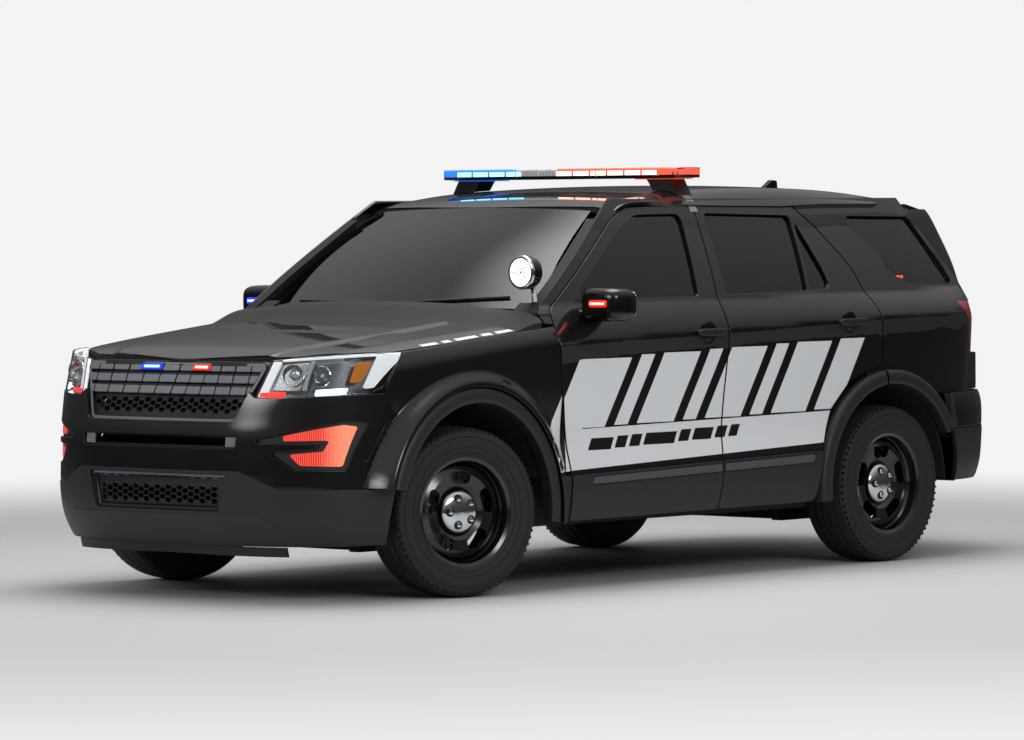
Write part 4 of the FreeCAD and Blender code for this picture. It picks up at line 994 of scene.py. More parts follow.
def flutes(material, width, trough, crest, values):
    """Upright bands of a width in mm: the tree, its shader, place and band colour."""
    tree = material.node_tree
    place = add(tree, "ShaderNodeTexCoord")
    wave = add(tree, "ShaderNodeTexWave",
               {"Scale": 1 / (width * MM) / (2 * math.pi) * 2, **values},
               {"Vector": (place, "Object")}, bands_direction="X")
    ramp = add(tree, "ShaderNodeMix", {"A": srgb(trough), "B": srgb(crest)},
               {"Factor": (wave, "Fac")}, data_type="RGBA")
    return tree, tree.nodes["Principled BSDF"], place, ramp


def red_ribs():
    """Ribbed red lens lit from behind: 7 mm flutes, brighter along their crests."""
    material = finish("ribbed_red_lens", "A00E0C", 0.15, IOR=1.49,
                      **{"Emission Strength": 1.0})
    tree, shader, place, ramp = flutes(material, 7.0, "A00C0A", "FA6A58",
                                       {"Distortion": 0.6, "Detail": 0.0})
    axes = add(tree, "ShaderNodeSeparateXYZ", links={"Vector": (place, "Object")})
    outward = add(tree, "ShaderNodeMath", links={0: (axes, "X")}, operation="ABSOLUTE")
    lamp = add(tree, "ShaderNodeMapRange", {"From Min": 0.765, "From Max": 0.85,
                                            "To Max": 0.6},
               {"Value": (outward, "Value")}, interpolation_type="SMOOTHSTEP")
    glow = add(tree, "ShaderNodeMix", {"B": srgb("FFB890")},
               {"Factor": (lamp, "Result"), "A": (ramp, "Result")}, data_type="RGBA")
    tree.links.new(glow.outputs["Result"], shader.inputs["Emission Color"])
    return material


def painted_glow_flutes():
    """Silvered reflector under the clear lens, 9 mm flutes: the light and dark bands along the flutes are painted
    highlights and shade, and its glow is painted light, for it is no lamp.
    """
    material = finish("fluted_reflector", "D6D9DC", 0.4,
                      **{"Emission Strength": 0.5})
    tree, shader, _, ramp = flutes(material, 9.0, "7C8084", "F0F2F4",
                                   {"Distortion": 0.0})
    for socket in ("Base Color", "Emission Color"):
        tree.links.new(ramp.outputs["Result"], shader.inputs[socket])
    return material


def screen_glass():
    # Laminated windshield: lightly tinted.
    return finish("laminated_glass", "565D60", 0.0, IOR=1.52,
                  **{"Transmission Weight": 1.0})


def bar_blue():
    # Blue polycarbonate outer lens, glowing.
    return finish("blue_lens", "2F7BFF", 0.1, IOR=1.58,
                  **{"Emission Color": srgb("2A74FF"), "Emission Strength": 0.8})


def bar_red():
    # Red-tinted outer lens, glowing.
    return finish("bar_red_lens", "E0604C", 0.1, IOR=1.58,
                  **{"Emission Color": srgb("FF4A34"), "Emission Strength": 0.8})


def bar_clear():
    # Clear outer lens over fluted reflectors whose brightness is a painted glow.
    return finish("bar_clear_lens", "B9BDC2", 0.18, IOR=1.58)


def bar_blue_lit():
    return lit("bar_blue", "8FE0FF", 2.6)


def bar_red_lit():
    return lit("bar_red", "FFD9C0", 2.6)


def clear_ribs():
    # Clear rib between lens sections.
    return finish("lens_rib", "C9D2DA", 0.15, IOR=1.58)


def dark_rubber_and_sipe_shade():
    # Darker rubber, for the painted shade of the sipes and for the raised rings and lugs on the side wall.
    return finish("sipe_rubber", "0D0E0F", 0.8, IOR=1.52)


def mirror_glass():
    # Silvered glass.
    return finish("silvered_glass", "C8CBCE", 0.02, Metallic=1.0)


def cast_metal():
    # Cast iron and aluminium under the body, as cast.
    return finish("cast_metal", "4A4C4E", 0.55, Metallic=1.0)


def pipe_steel():
    # Stainless exhaust pipe, weathered.
    return finish("pipe_steel", "6E6C6A", 0.4, Metallic=1.0)


# What each kind of ray sees of the far floor: from and to in metres, strength.
FLOOR_FADES = (("Is Camera Ray", 4.0, 9.5, 0.9), ("Is Glossy Ray", 3.2, 7.0, 0.04))


def floor_finish(colour):
    """Matt studio floor that runs out into the pale backdrop."""
    material = finish("studio_floor", colour, 0.6)
    tree = material.node_tree
    shader = tree.nodes["Principled BSDF"]
    output = tree.nodes["Material Output"]
    place = add(tree, "ShaderNodeNewGeometry")
    length = add(tree, "ShaderNodeVectorMath", links={"Vector": (place, "Position")},
                 operation="LENGTH")
    paths = add(tree, "ShaderNodeLightPath")
    last = (shader, "BSDF")
    for ray, start, end, strength in FLOOR_FADES:
        far = add(tree, "ShaderNodeMapRange", {"From Min": start, "From Max": end},
                  {"Value": (length, "Value")}, interpolation_type="SMOOTHSTEP")
        seen = add(tree, "ShaderNodeMath", links={0: (far, "Result"), 1: (paths, ray)},
                   operation="MULTIPLY")
        glow = add(tree, "ShaderNodeEmission", {"Color": (1, 1, 1, 1),
                                                "Strength": strength})
        mix = add(tree, "ShaderNodeMixShader", links={0: (seen, "Value"), 1: last,
                                                      2: (glow, "Emission")})
        last = (mix, "Shader")
    tree.links.new(mix.outputs["Shader"], output.inputs["Surface"])
    return material


def seat_cloth():
    # Woven polyester over foam: matt charcoal with a fine weave.
    return finish("seat_cloth", "303236", 0.85, (2.0, 0.12), IOR=1.5,
                  **{"Sheen Weight": 0.4, "Sheen Roughness": 0.5})


def thread():
    # Welt cord along the seams, a shade lighter.
    return finish("welt_cord", "4A4C50", 0.8, IOR=1.5)


def under_paint():
    # Rust-proofed steel under the floor: dull and dark.
    return finish("underbody_coating", "151617", 0.8, IOR=1.5)


def cabin_plastic():
    # Moulded cabin trim: matt charcoal.
    return finish("cabin_trim", "1D1E20", 0.6, IOR=1.5)


# ---------------------------------------------------------------- settings
class SuvFinish(bpy.types.PropertyGroup):
    """Colours of the vehicle."""
    body: FloatVectorProperty(name="Body", description="Enamel on the body panels",
                              subtype="COLOR", default=srgb("060607", False),
                              min=0, max=1)
    graphic: FloatVectorProperty(name="Door graphic", description="Film on the doors",
                                 subtype="COLOR", default=srgb("E4E6E8", False),
                                 min=0, max=1)
    floor: FloatVectorProperty(name="Floor", description="Studio floor",
                               subtype="COLOR", default=srgb("BCBEC0", False),
                               min=0, max=1)


class SuvSizes(bpy.types.PropertyGroup):
    """Sizes of the vehicle's dressing."""
    mesh_step: FloatProperty(name="Mesh step", description="Spacing of skin points",
                             default=18.0, min=8, max=60)
    edge_roll: FloatProperty(name="Edge radius", description="Radius of a panel's edge",
                             default=2.2, min=0.5, max=5)


# ---------------------------------------------------------------- painted panels
def shrink(node, amount=1.8):
    """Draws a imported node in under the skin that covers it."""
    obj = frame["nodes"][node]
    weld = obj.modifiers.new("weld", "WELD")
    weld.merge_threshold = 0.00002
    draw_in = obj.modifiers.new("draw_in", "DISPLACE")
    draw_in.strength = -amount * MM
    draw_in.mid_level = 0.0
    split = obj.modifiers.new("split", "EDGE_SPLIT")
    split.split_angle = math.radians(30)


def paint(node, material):
    obj = frame["nodes"][node]
    obj.data.materials.clear()
    obj.data.materials.append(material)


def cover(node, material, amount=1.8):
    """Draws a node in under its skin and gives what still shows a finish."""
    shrink(node, amount)
    paint(node, material)


DOORS = (("front_door", FRONT_DOOR, (FRONT_WINDOW,), None),
         ("rear_door", REAR_DOOR, (REAR_WINDOW, REAR_PANE),
          arch(REAR_AXLE_Y, 3)))


class SUV_OT_doors(bpy.types.Operator):
    """Skins of the four doors"""
    bl_idname = "suv.doors"
    bl_label = "Doors"

    def execute(self, context):
        sizes = context.scene.suv_sizes
        for name, outline, windows, clip in DOORS:
            drop = [curve(w) for w in windows]
            if clip is not None:
                drop.append(clip)
            data = shell(from_side(side_x), [grown(curve(outline), -HALF_GAP)], drop,
                         sizes.mesh_step, sizes.edge_roll)
            door_pair(name, "skin", data, enamel(context))
            for side in ("_left", "_right"):
                cover(name + side, cabin_plastic())
        return {"FINISHED"}


def below_cladding(start, end, count, drop):
    """Zone under the cladding's upper edge, lowered by the drop."""
    ys = np.linspace(start, end, count)
    line = np.stack([ys, CLADDING_LINE(ys) - drop], -1)
    return np.concatenate([line, ((end, 200.0), (start, 200.0))])


def flare_rows():
    """Points along the flare, so that its bend shows as one clean line."""
    turn = np.radians(np.arange(-10.0, 190.0, 0.75))
    radii = ARCH_RADIUS + ARCH_RING + np.array((10.0, 16.0, 24.0, 34.0, 48.0, 62.0))
    return np.concatenate([np.stack([FRONT_AXLE_Y + r * np.cos(turn),
                                     AXLE_Z + r * np.sin(turn)], -1) for r in radii])


class SUV_OT_fenders(bpy.types.Operator):
    """Front fenders with their flares"""
    bl_idname = "suv.fenders"
    bl_label = "Fenders"

    def execute(self, context):
        sizes = context.scene.suv_sizes
        ys = np.linspace(-2060, -1000, 60)
        top = np.stack([ys, HOOD_EDGE(ys) - 0.5], -1)
        under_hood = np.concatenate([top, ((-1000.0, 240.0), (-2400.0, 240.0),
                                           (-2400.0, 900.0))])
        hole = arch(FRONT_AXLE_Y, 3, 4.0)
        outer = ARCH_RADIUS + ARCH_RING + FLARE_WIDTH + 6
        arc = [(FRONT_AXLE_Y + outer * math.cos(t), AXLE_Z + outer * math.sin(t), 0)
               for t in np.radians(np.arange(135.5, 169.0, 1.5))]
        outline = FENDER[:10] + tuple(arc) + ((-1560, 483, 0), (-1130, 292, 0))
        zone = curve(outline)
        low = below_cladding(-1200.0, -900.0, 8, 0.0)
        data = shell(from_side(fender_x), [zone, under_hood],
                     [grown(curve(FRONT_DOOR), HALF_GAP), hole], 10.0,
                     sizes.edge_roll, rows=flare_rows())
        left, _ = pair("fender_skin", data, enamel(context), "body")
        foot = shell(from_side(fender_x), [zone, low],
                     [grown(curve(FRONT_DOOR), HALF_GAP), hole], sizes.mesh_step,
                     sizes.edge_roll, 4.0, lift=4.0)
        pair("fender_foot", foot, moulding(), "body")
        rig.replaces(left, "front_fenders")
        return {"FINISHED"}


class SUV_OT_sides(bpy.types.Operator):
    """Rear quarters, roof rails and pillars"""
    bl_idname = "suv.sides"
    bl_label = "Body sides"

    def execute(self, context):
        sizes = context.scene.suv_sizes
        zs = np.linspace(SIDE_FOOT, SIDE_TOP, 70)
        corner_y = crossing(lambda y: y < tail_y(side_x(y, zs), zs),
                            np.full(len(zs), 1500.0), np.full(len(zs), 2300.0), 40)
        edge = np.stack([corner_y, zs], -1)
        zone = np.concatenate([edge, ((-1200.0, SIDE_TOP), (-1200.0, SIDE_FOOT))])
        drop = [grown(curve(FRONT_DOOR), HALF_GAP), grown(curve(REAR_DOOR), HALF_GAP),
                curve(QUARTER_WINDOW),
                arch(REAR_AXLE_Y),
                curve(TAIL_LAMP)]
        data = shell(from_side(side_x), [curve(SIDE_ZONE), zone], drop,
                     sizes.mesh_step, 0.6)
        edge_x = side_x(corner_y, zs)
        tail_zone = np.concatenate([
            np.stack([edge_x, zs], -1)[zs > 700],
            ((400.0, SIDE_TOP), (400.0, 700.0))])
        data_tail = shell(from_behind, [tail_zone, curve(CORNER_BEHIND)],
                          [grown(curve(GATE), HALF_GAP), curve(LAMP_BEHIND)],
                          sizes.mesh_step, 0.6, sign=-1)
        lens_side = shell(from_side(side_x), [grown(curve(TAIL_LAMP), -1.5), zone], (),
                          sizes.mesh_step, 1.0, 8.0, lift=1.0)
        lens_back = shell(from_behind, [grown(curve(LAMP_BEHIND), -1.5), tail_zone], (),
                          sizes.mesh_step, 1.0, 8.0, -1, 1.0)
        left, _ = pair("tail_lamp_lens", merged([lens_side, lens_back]), red_lens(),
                       "body")
        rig.replaces(left, "tail_lamps")
        pair("body_side_skin", data, enamel(context), "body")
        pair("rear_corner_skin", data_tail, enamel(context), "body")
        cover("body_sides", under_paint())
        return {"FINISHED"}


TAIL_LAMP = ((1885, 1203, 10), (2090, 1198, 10), (2280, 1190, 0), (2280, 950, 0),
             (2096, 948, 20), (2046, 1096, 30))
LAMP_BEHIND = ((680, 1192, 8), (900, 1200, 0), (900, 948, 0), (700, 950, 8))
CORNER_BEHIND = ((500, 776, 0), (900, 776, 0), (900, 1300, 0), (760, 1640, 0),
                 (500, 1640, 0))


class SUV_OT_tops(bpy.types.Operator):
    """Hood, roof and liftgate skins"""
    bl_idname = "suv.tops"
    bl_label = "Hood, roof and liftgate"

    def execute(self, context):
        sizes = context.scene.suv_sizes
        hood = shell(from_above(hood_z), [curve(HOOD)], (), sizes.mesh_step,
                     sizes.edge_roll, 20.0)
        put("hood_skin", hood, enamel(context), "hood")
        cover("hood", under_paint(), 2.5)
        roof = shell(from_above(roof_z), [curve(ROOF)], (), sizes.mesh_step, 1.0, 14.0)
        put("roof_skin", roof, enamel(context), "body")
        cover("roof_panel", under_paint(), 2.0)
        gate = shell(from_behind, [grown(curve(GATE), -HALF_GAP)],
                     [curve(REAR_SCREEN), curve(PLATE)],
                     sizes.mesh_step, sizes.edge_roll, 12.0, -1)
        put("liftgate_skin", gate, enamel(context), "liftgate")
        cover("liftgate", cabin_plastic())
        return {"FINISHED"}


# ---------------------------------------------------------------- bumpers
def both_sides(wrap, limit_y, low, high):
    """Zone of a wrap between two heights, ended on each side at a distance back."""
    zs = np.linspace(low, high, 60)
    edge = reach(wrap, limit_y(zs), zs)
    right = np.stack([edge, zs], -1)
    left = np.stack([-edge[::-1], zs[::-1]], -1)
    return distinct(np.concatenate([right, left]))


def wheel_edge(axle_y, radius, way):
    """Where a circle round an axle passes, as distance back at each height."""
    def limit(zs):
        inner = np.maximum(radius ** 2 - (zs - AXLE_Z) ** 2, 0)
        return axle_y + way * np.sqrt(inner)
    return limit


def fender_edge(zs):
    """Front edge of the fender."""
    return np.interp(zs, (800, 898, 1054), (-2010, -2050, -1968))


def cover_edge(zs):
    """Back edge of the front bumper cover: fender line, then flare."""
    fender = fender_edge(zs)
    flare = wheel_edge(FRONT_AXLE_Y, ARCH_RADIUS + ARCH_RING + FLARE_WIDTH + 10, -1)(zs)
    return np.where(zs > 800, np.minimum(fender, flare), flare) - 1.5


def mirrored_outline(points):
    return tuple((-x, z, r) for x, z, r in points)


class SUV_OT_bumpers(bpy.types.Operator):
    """Bumper covers and valances at both ends"""
    bl_idname = "suv.bumpers"
    bl_label = "Bumpers"

    def execute(self, context):
        step = context.scene.suv_sizes.mesh_step
        roll = context.scene.suv_sizes.edge_roll
        top = tuple((x, z, 0) for x, z in BUMPER_TOP)
        top = top + ((990, 478, 0), (-990, 478, 0)) + tuple(
            (-x, z, 0) for x, z, _ in top[:0:-1])
        drop = [on_wrap(FRONT, o) for o in (VALANCE_TOP, UPPER_GRILLE, SLOT, FOG,
                                            mirrored_outline(FOG), SLIT,
                                            mirrored_outline(SLIT))]
        data = shell(FRONT, [both_sides(FRONT, cover_edge, 478, 905),
                             on_wrap(FRONT, top)], drop, step, roll)
        put("front_cover_skin", data, enamel(context), "body")
        cover("front_bumper", enamel(context), 2.0)
        ring = wheel_edge(FRONT_AXLE_Y, ARCH_RADIUS + 5, -1)
        data = shell(FRONT_LOW, [both_sides(FRONT_LOW, ring, 241, 560),
                                 on_wrap(FRONT_LOW, VALANCE_TOP)],
                     [on_wrap(FRONT_LOW, LOWER_GRILLE)], step, roll, 20.0)
        put("front_valance_skin", data, moulding(), "body")
        cover("front_valance", black_plastic(), 2.0)
        ring = wheel_edge(REAR_AXLE_Y, ARCH_RADIUS + ARCH_RING + 5, 1)
        data = shell(REAR, [both_sides(REAR, ring, 601, 769)], (), step, roll)
        put("rear_cover_skin", data, enamel(context), "body")
        data = shell(REAR_LOW, [both_sides(REAR_LOW, ring, 353, 598)], (), step, roll)
        put("rear_valance_skin", data, moulding(), "body")
        for node in ("rear_bumper", "rear_valance"):
            cover(node, moulding(), 2.0)
        return {"FINISHED"}


# ---------------------------------------------------------------- front end
SLIT = ((908, 748, 4), (916, 748, 4), (892, 600, 4), (884, 600, 4))
BARS = ((876, 914), (924, 962), (972, 1006))
BAR_GROOVE = 92.0
# (name, x middle, z middle, lens and diode colours)
GRILLE_LEDS = (("blue", -150, 989, "1030FF", "8FD0FF"),
               ("red", 150, 989, "FF1408", "FFC0A0"))


def lamp_edge(zs):
    """Back edge of the headlamp."""
    side = np.interp(zs, (866, 884, 910, 1051), (-2180, -2112, -2060, -1947))
    return np.minimum(side, fender_edge(zs) - 1.5)


def panel_on(wrap, outline, finish_used, name, lift, thick, roll=1.0, limit=None,
             both=True):
    """Plate laid on a wrap, and its mirror image."""
    keep = [on_wrap(wrap, outline, 8.0)]
    if limit is not None:
        keep.append(both_sides(wrap, limit, 850, 1060))
    data = shell(wrap, keep, (), 16.0, roll, lift=lift, thick=thick)
    if both:
        return pair(name, data, finish_used, "body")
    return put(name, data, finish_used, "body")


def fog_face(a, z):
    """Face of the fog lamp, set back into the bumper."""
    return FRONT(a, z) + np.array((0, 16.0, 0))


class SUV_OT_front(bpy.types.Operator):
    """Grille lamps, slot ends, fog lamps and headlamps"""
    bl_idname = "suv.front"
    bl_label = "Front end"

    def execute(self, context):
        paint("grilles", black_plastic())
        room = grown(on_wrap(GRILLE, UPPER_GRILLE), -14.0)
        bars = [(on_wrap(GRILLE, box_outline(k * BAR_GROOVE + 4, (k + 1) * BAR_GROOVE - 4,
                                             low + 3, high - 3, 4), 8.0), room)
                for low, high in BARS for k in range(-6, 6)]
        put("grille_bars", films(GRILLE, bars, (), -9.0, 3.0, 3.0), satin_frame(),
            "body")
        for name, outline in (("upper", UPPER_GRILLE), ("lower", LOWER_GRILLE)):
            loop = on_wrap(GRILLE, outline)
            rim = shell(GRILLE, [grown(loop, -1.0)], [grown(loop, -14.0)], 14.0, 2.5,
                        4.0, lift=-12.0)
            put("grille_rim_" + name, rim, satin_frame(), "body")
        room = grown(on_wrap(GRILLE, LOWER_GRILLE), -16.0)
        hexes = []
        for row, z in enumerate((500, 513.5, 527)):
            for k in range(-6, 7):
                x = (k + 0.5 * (row % 2)) * 66
                six = [(x + u, z + v, 0) for u, v in
                       ((-19, 0), (-9.5, -10.5), (9.5, -10.5), (19, 0), (9.5, 10.5),
                        (-9.5, 10.5))]
                hexes.append((on_wrap(GRILLE, six, 8.0), room))
        put("grille_hexes", films(GRILLE, hexes, (), -27.0, 1.5, 2.0), satin_frame(),
            "body")
        panel_on(FRONT_LOW, tapered(740, 264, 560, 374, 20, 30), moulding(),
                 "skid_plate", 4, 2, 3.0, both=False)
        for name, x, z, colour, core in GRILLE_LEDS:
            for tag, half, tall, radius, used, lift, thick in (
                    ("led_case", 62, 16, 4, black_plastic(), -9, 6),
                    ("led", 56, 12, 4, lit("grille_" + name, colour, 1.0), -4, 2),
                    ("diodes", 42, 5, 3, lit("diodes_grille_" + name, core, 2.0), -2.5,
                     1)):
                face = box_outline(x - half, x + half, z - tall, z + tall, radius)
                panel_on(GRILLE, face, used, "grille_%s_%s" % (tag, name), lift, thick,
                         both=False)
        for k in range(7):
            x = 396 + k * 9
            panel_on(GRILLE, box_outline(x, x + 6, 659, 702, 2), light_plastic(),
                     "slot_rib_%d" % k, -9, 6)
        panel_on(FRONT_LOW, tapered(404, 500, 411, 545, 8, 10), light_plastic(),
                 "mesh_band", -34, 4, both=False)
        paint("fog_lamps", moulding())
        keep = [on_wrap(FRONT, FOG_LENS, 6.0)]
        lens = shell(fog_face, keep, (), 10.0, 1.5, 2.0, lift=3.0)
        pair("fog_lens", lens, red_ribs(), "body")
        self.headlamp()
        return {"FINISHED"}

    def headlamp(self):
        keep = [on_wrap(LAMP, HEADLAMP, 8.0), both_sides(LAMP, lamp_edge, 850, 1060)]
        cover = shell(LAMP, keep, (), 16.0, 1.5, thick=1.5)
        left, _ = pair("headlamp_cover", cover, clear_cover(), "body")
        back = shell(LAMP, keep, (), 16.0, 0.5, lip=2.0, lift=-70.0)
        pair("headlamp_back", back, dark_reflector(), "body")
        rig.replaces(left, "headlamps")
        for name, outline, used, lift, thick in LAMP_PARTS:
            panel_on(LAMP, outline, used(), "headlamp_" + name, lift, thick, 3.0,
                     lamp_edge)
        for name, x, z, radius, deep in BOWLS:
            a = float(LAMP.across(np.array((x,)))[0])
            spot, _ = stand(LAMP, a, z, -16.0)
            way = (0.25, -1.0, 0.0)
            bowl = lathe(((-deep, 0), (-deep, radius * 0.45), (-14, radius),
                          (-6, radius + 3), (-3, radius + 3), (0, radius),
                          (-12, radius - 3), (-deep + 2, radius * 0.42),
                          (-deep + 2, 0)), 48)
            piece = placed(bowl, spot, way)
            pair("headlamp_bowl_" + name, piece, chrome(), "body")
            dome = lathe(((-deep * 0.2, 0), (-deep * 0.22, radius * 0.3),
                          (-deep * 0.34, radius * 0.5), (-deep * 0.6, radius * 0.62),
                          (-deep, radius * 0.62))[::-1], 40, 60)
            dome = placed(dome, spot, way)
            pair("headlamp_lens_" + name, dome, clear_cover(), "body")


# Parts inside the headlamp: name, outline in (x, z), finish, depth and thickness.
LAMP_PARTS = (
    ("inner_edge", ((560, 1018, 4), (527, 872, 6), (562, 872, 4), (596, 1018, 4)),
     lamp_white, -10, 8),
    ("reflector", ((600, 1012, 10), (570, 906, 10), (690, 900, 10), (706, 1018, 10)),
     bright_reflector, -34, 6),
    ("divider", ((712, 1020, 3), (700, 898, 3), (716, 898, 3), (728, 1020, 3)),
     chrome, -18, 30),
    ("module", ((738, 1012, 8), (728, 902, 8), (820, 906, 8), (836, 1022, 8)),
     dark_reflector, -44, 4),
    ("amber", ((850, 1010, 6), (842, 926, 8), (868, 930, 8), (884, 1012, 6)),
     amber_lens, -12, 8),
    ("outer_edge", ((892, 1044, 4), (872, 900, 10), (893, 905, 6), (935, 1052, 4)),
     lamp_white, -8, 6),
    ("top_edge", ((600, 1026, 2), (598, 1018, 2), (890, 1036, 2), (890, 1046, 2)),
     lamp_white, -9, 6),
    ("red_bar", ((536, 890, 4), (534, 872, 4), (640, 872, 4), (644, 894, 4)),
     lamp_red, -9, 6),
    ("blue_bar", ((752, 900, 4), (750, 878, 4), (838, 884, 4), (842, 906, 4)),
     lamp_blue, -9, 6),
)
# (name, x, z, radius, depth)
BOWLS = (("projector", 760, 958, 40, 44), ("main", 652, 962, 46, 40))


# ---------------------------------------------------------------- side trim
def slanted(s0, s1, low, high):
    """Slanted block between two heights, s measured along the car at z = 690."""
    out = []
    for s, z in ((s0, low), (s1, low), (s1, high), (s0, high)):
        out.append((s + 0.55 * (z - 690), z, 2.0))
    return tuple(out)


GRAPHIC_BAND = ((-1100, 508, 3), (835, 573, 3), (905, 716, 3), (-858, 690, 3),
                (-862, 700, 3), (-1100, 700, 3))
# The band runs on over the back of the front fender.
FENDER_FILM = ((-1092, 508, 0), (-880, 514, 0), (-880, 1000, 0), (-915, 1000, 0),
               (-1092, 676, 0))
# Blocks that stand on the band: start and width.
BLOCKS = ((-1062, 347), (-655, 90), (-505, 250), (-195, 90), (-45, 250), (265, 90),
          (415, 250), (725, 178))
DASHES = ((-826, 150), (-652, 70), (-558, 70), (-464, 210), (-230, 70), (-136, 130),
          (18, 70), (112, 60))
HOOD_DASHES = ((-1815, 90), (-1695, 45), (-1620, 130), (-1460, 60), (-1372, 110),
               (-1234, 40), (-1170, 70))


class SUV_OT_graphics(bpy.types.Operator):
    """Film on the doors and beside the hood"""
    bl_idname = "suv.graphics"
    bl_label = "Door graphics"

    def execute(self, context):
        blocks = []
        for start, width in BLOCKS:
            low = 698 + 0.016 * (start + 850)
            high = 1000 + 0.028 * (start + 850)
            blocks.append(curve(slanted(start, start + width, low, high), 30.0))
        band = curve(GRAPHIC_BAND, 30.0)
        dashes = []
        for start, width in DASHES:
            low = 596 + 0.03 * (start + 820)
            dashes.append(curve(slanted(start + 50, start + 50 + width, low, low + 52)))
        place = from_side(side_x)
        for name, outline, _, _ in DOORS:
            edge = grown(curve(outline), -HALF_GAP - 2)
            data = films(place, [(edge, zone) for zone in [band] + blocks],
                         [arch(REAR_AXLE_Y, 6)])
            door_pair(name, "film", data, film(context))
            data = films(place, [(edge, zone) for zone in dashes], lift=0.8)
            door_pair(name, "dashes", data, black_film())
        data = films(from_side(fender_x), [(curve(FENDER_FILM, 30.0),)],
                     [grown(curve(FRONT_DOOR), HALF_GAP + 2), arch(FRONT_AXLE_Y, 6)])
        pair("fender_film", data, film(context), "body")
        data = merged([dash_on_hood(start, width) for start, width in HOOD_DASHES])
        pair("hood_dashes", data, film(context), "hood")
        return {"FINISHED"}


def dash_on_hood(start, width):
    """Pale dash on the slope beside the hood's edge."""
    ys = np.linspace(start, start + width, 7)
    points, normals = [], []
    place = from_above(hood_z)
    for inset in (40.0, 31.0, 22.0, 14.0):
        spots = np.stack([hood_edge_x(ys) - inset, ys], -1)
        normal = normals_of(place, spots)
        points.append(place(spots[:, 0], spots[:, 1]) + normal * 0.5)
        normals.append(normal)
    faces = [(i, i + 7, i + 8, i + 1) for i in range(20) if i % 7 < 6]
    return Data(np.concatenate(points), faces, np.concatenate(normals))


def films(place, zones, drop=(), lift=0.5, roll=0.05, lip=0.2):
    """Thin pieces laid on a surface as one, without those that come out too small."""
    pieces = []
    for keep in zones:
        low = np.max([p.min(0) for p in keep], axis=0)
        high = np.min([p.max(0) for p in keep], axis=0)
        if np.all(high - low >= 4):
            try:
                pieces.append(shell(place, keep, drop, 24.0, roll, lip, lift=lift))
            except (ValueError, IndexError):
                continue
    return merged(pieces)


STRIP = ((-818, 450, 10), (-812, 480, 10), (727, 520, 10), (712, 486, 10))


def arc_band(profile, axle_y, start, end, step=3.0):
    """Part of a ring about an axle: profile is (x, radius), angles are in degrees from
    straight back, going up."""
    profile = np.array(profile, float)
    way = np.diff(profile, axis=0)
    flat = unit(np.stack([-way[:, 1], way[:, 0]], -1))
    corner = np.concatenate([flat[:1], flat[:-1] + flat[1:], flat[-1:]])
    corner = unit(corner)
    angles = np.radians(np.linspace(start, end, max(2, int(abs(end - start) / step))))
    points, normals, faces = [], [], []
    for t in angles:
        cos, sin = math.cos(t), math.sin(t)
        for (x, r), (nx, nr) in zip(profile, corner):
            points.append((x, axle_y + r * cos, AXLE_Z + r * sin))
            normals.append((nx, nr * cos, nr * sin))
    count = len(profile)
    for i in range(len(angles) - 1):
        for k in range(count - 1):
            a = i * count + k
            faces.append((a, a + count, a + count + 1, a + 1))
    return Data(points, faces, np.array(normals))


ARCH_PROFILE = ((HALF - 39, 462), (HALF + 6, 462.2), (HALF + 12, 464), (HALF + 15.5, 469),
                (HALF + 17, 477), (HALF + 17, 492), (HALF + 15.5, 508), (HALF + 11, 521),
                (HALF + 3, 529), (HALF - 39, 529.6))


def rounded_box(low, high, power=0.36, count=40):
    """Box with generously rounded edges."""
    low, high = np.array(low, float), np.array(high, float)
    half = (high - low) / 2
    u = np.linspace(-math.pi / 2, math.pi / 2, count // 2 + 1)
    v = np.linspace(-math.pi, math.pi, count, endpoint=False)
    uu, vv = np.meshgrid(u, v, indexing="ij")

    def bend(value, p):
        return np.sign(value) * np.abs(value) ** p

    def spot(p):
        return np.stack([bend(np.cos(uu), p) * bend(np.cos(vv), p),
                         bend(np.cos(uu), p) * bend(np.sin(vv), p),
                         bend(np.sin(uu), p)], -1).reshape(-1, 3)

    points = spot(power) * half + (low + high) / 2
    normals = unit(spot(2 - power) / half)
    rows = len(u)
    faces = []
    for i in range(rows - 1):
        for k in range(count):
            n = (k + 1) % count
            faces.append((i * count + k, i * count + n, (i + 1) * count + n,
                          (i + 1) * count + k))
    return Data(points, faces, normals)


def handle_piece(y, z):
    """Rounded pull bar on two feet."""
    x = float(side_x(y, z))
    bar = rounded_box((x + 16, y - 62, z - 15), (x + 34, y + 128, z + 17), 0.45)
    feet = [rounded_box((x - 1, y - 54, z - 12), (x + 24, y - 28, z + 12), 0.5, 24),
            rounded_box((x - 1, y + 90, z - 12), (x + 24, y + 120, z + 12), 0.5, 24)]
    return merged([bar] + feet)


def mirror_piece():
    """Door mirror: rounded shell on a slim foot."""
    shell_part = rounded_box((925, -850, 1156), (1146, -688, 1304), 0.5, 56)
    foot = rounded_box((868, -832, 1172), (990, -742, 1206), 0.5, 32)
    return merged([shell_part, foot])


# Handles: door, y and z of the grip.
HANDLES = (("front_door", -60, 1092), ("rear_door", 950, 1118))


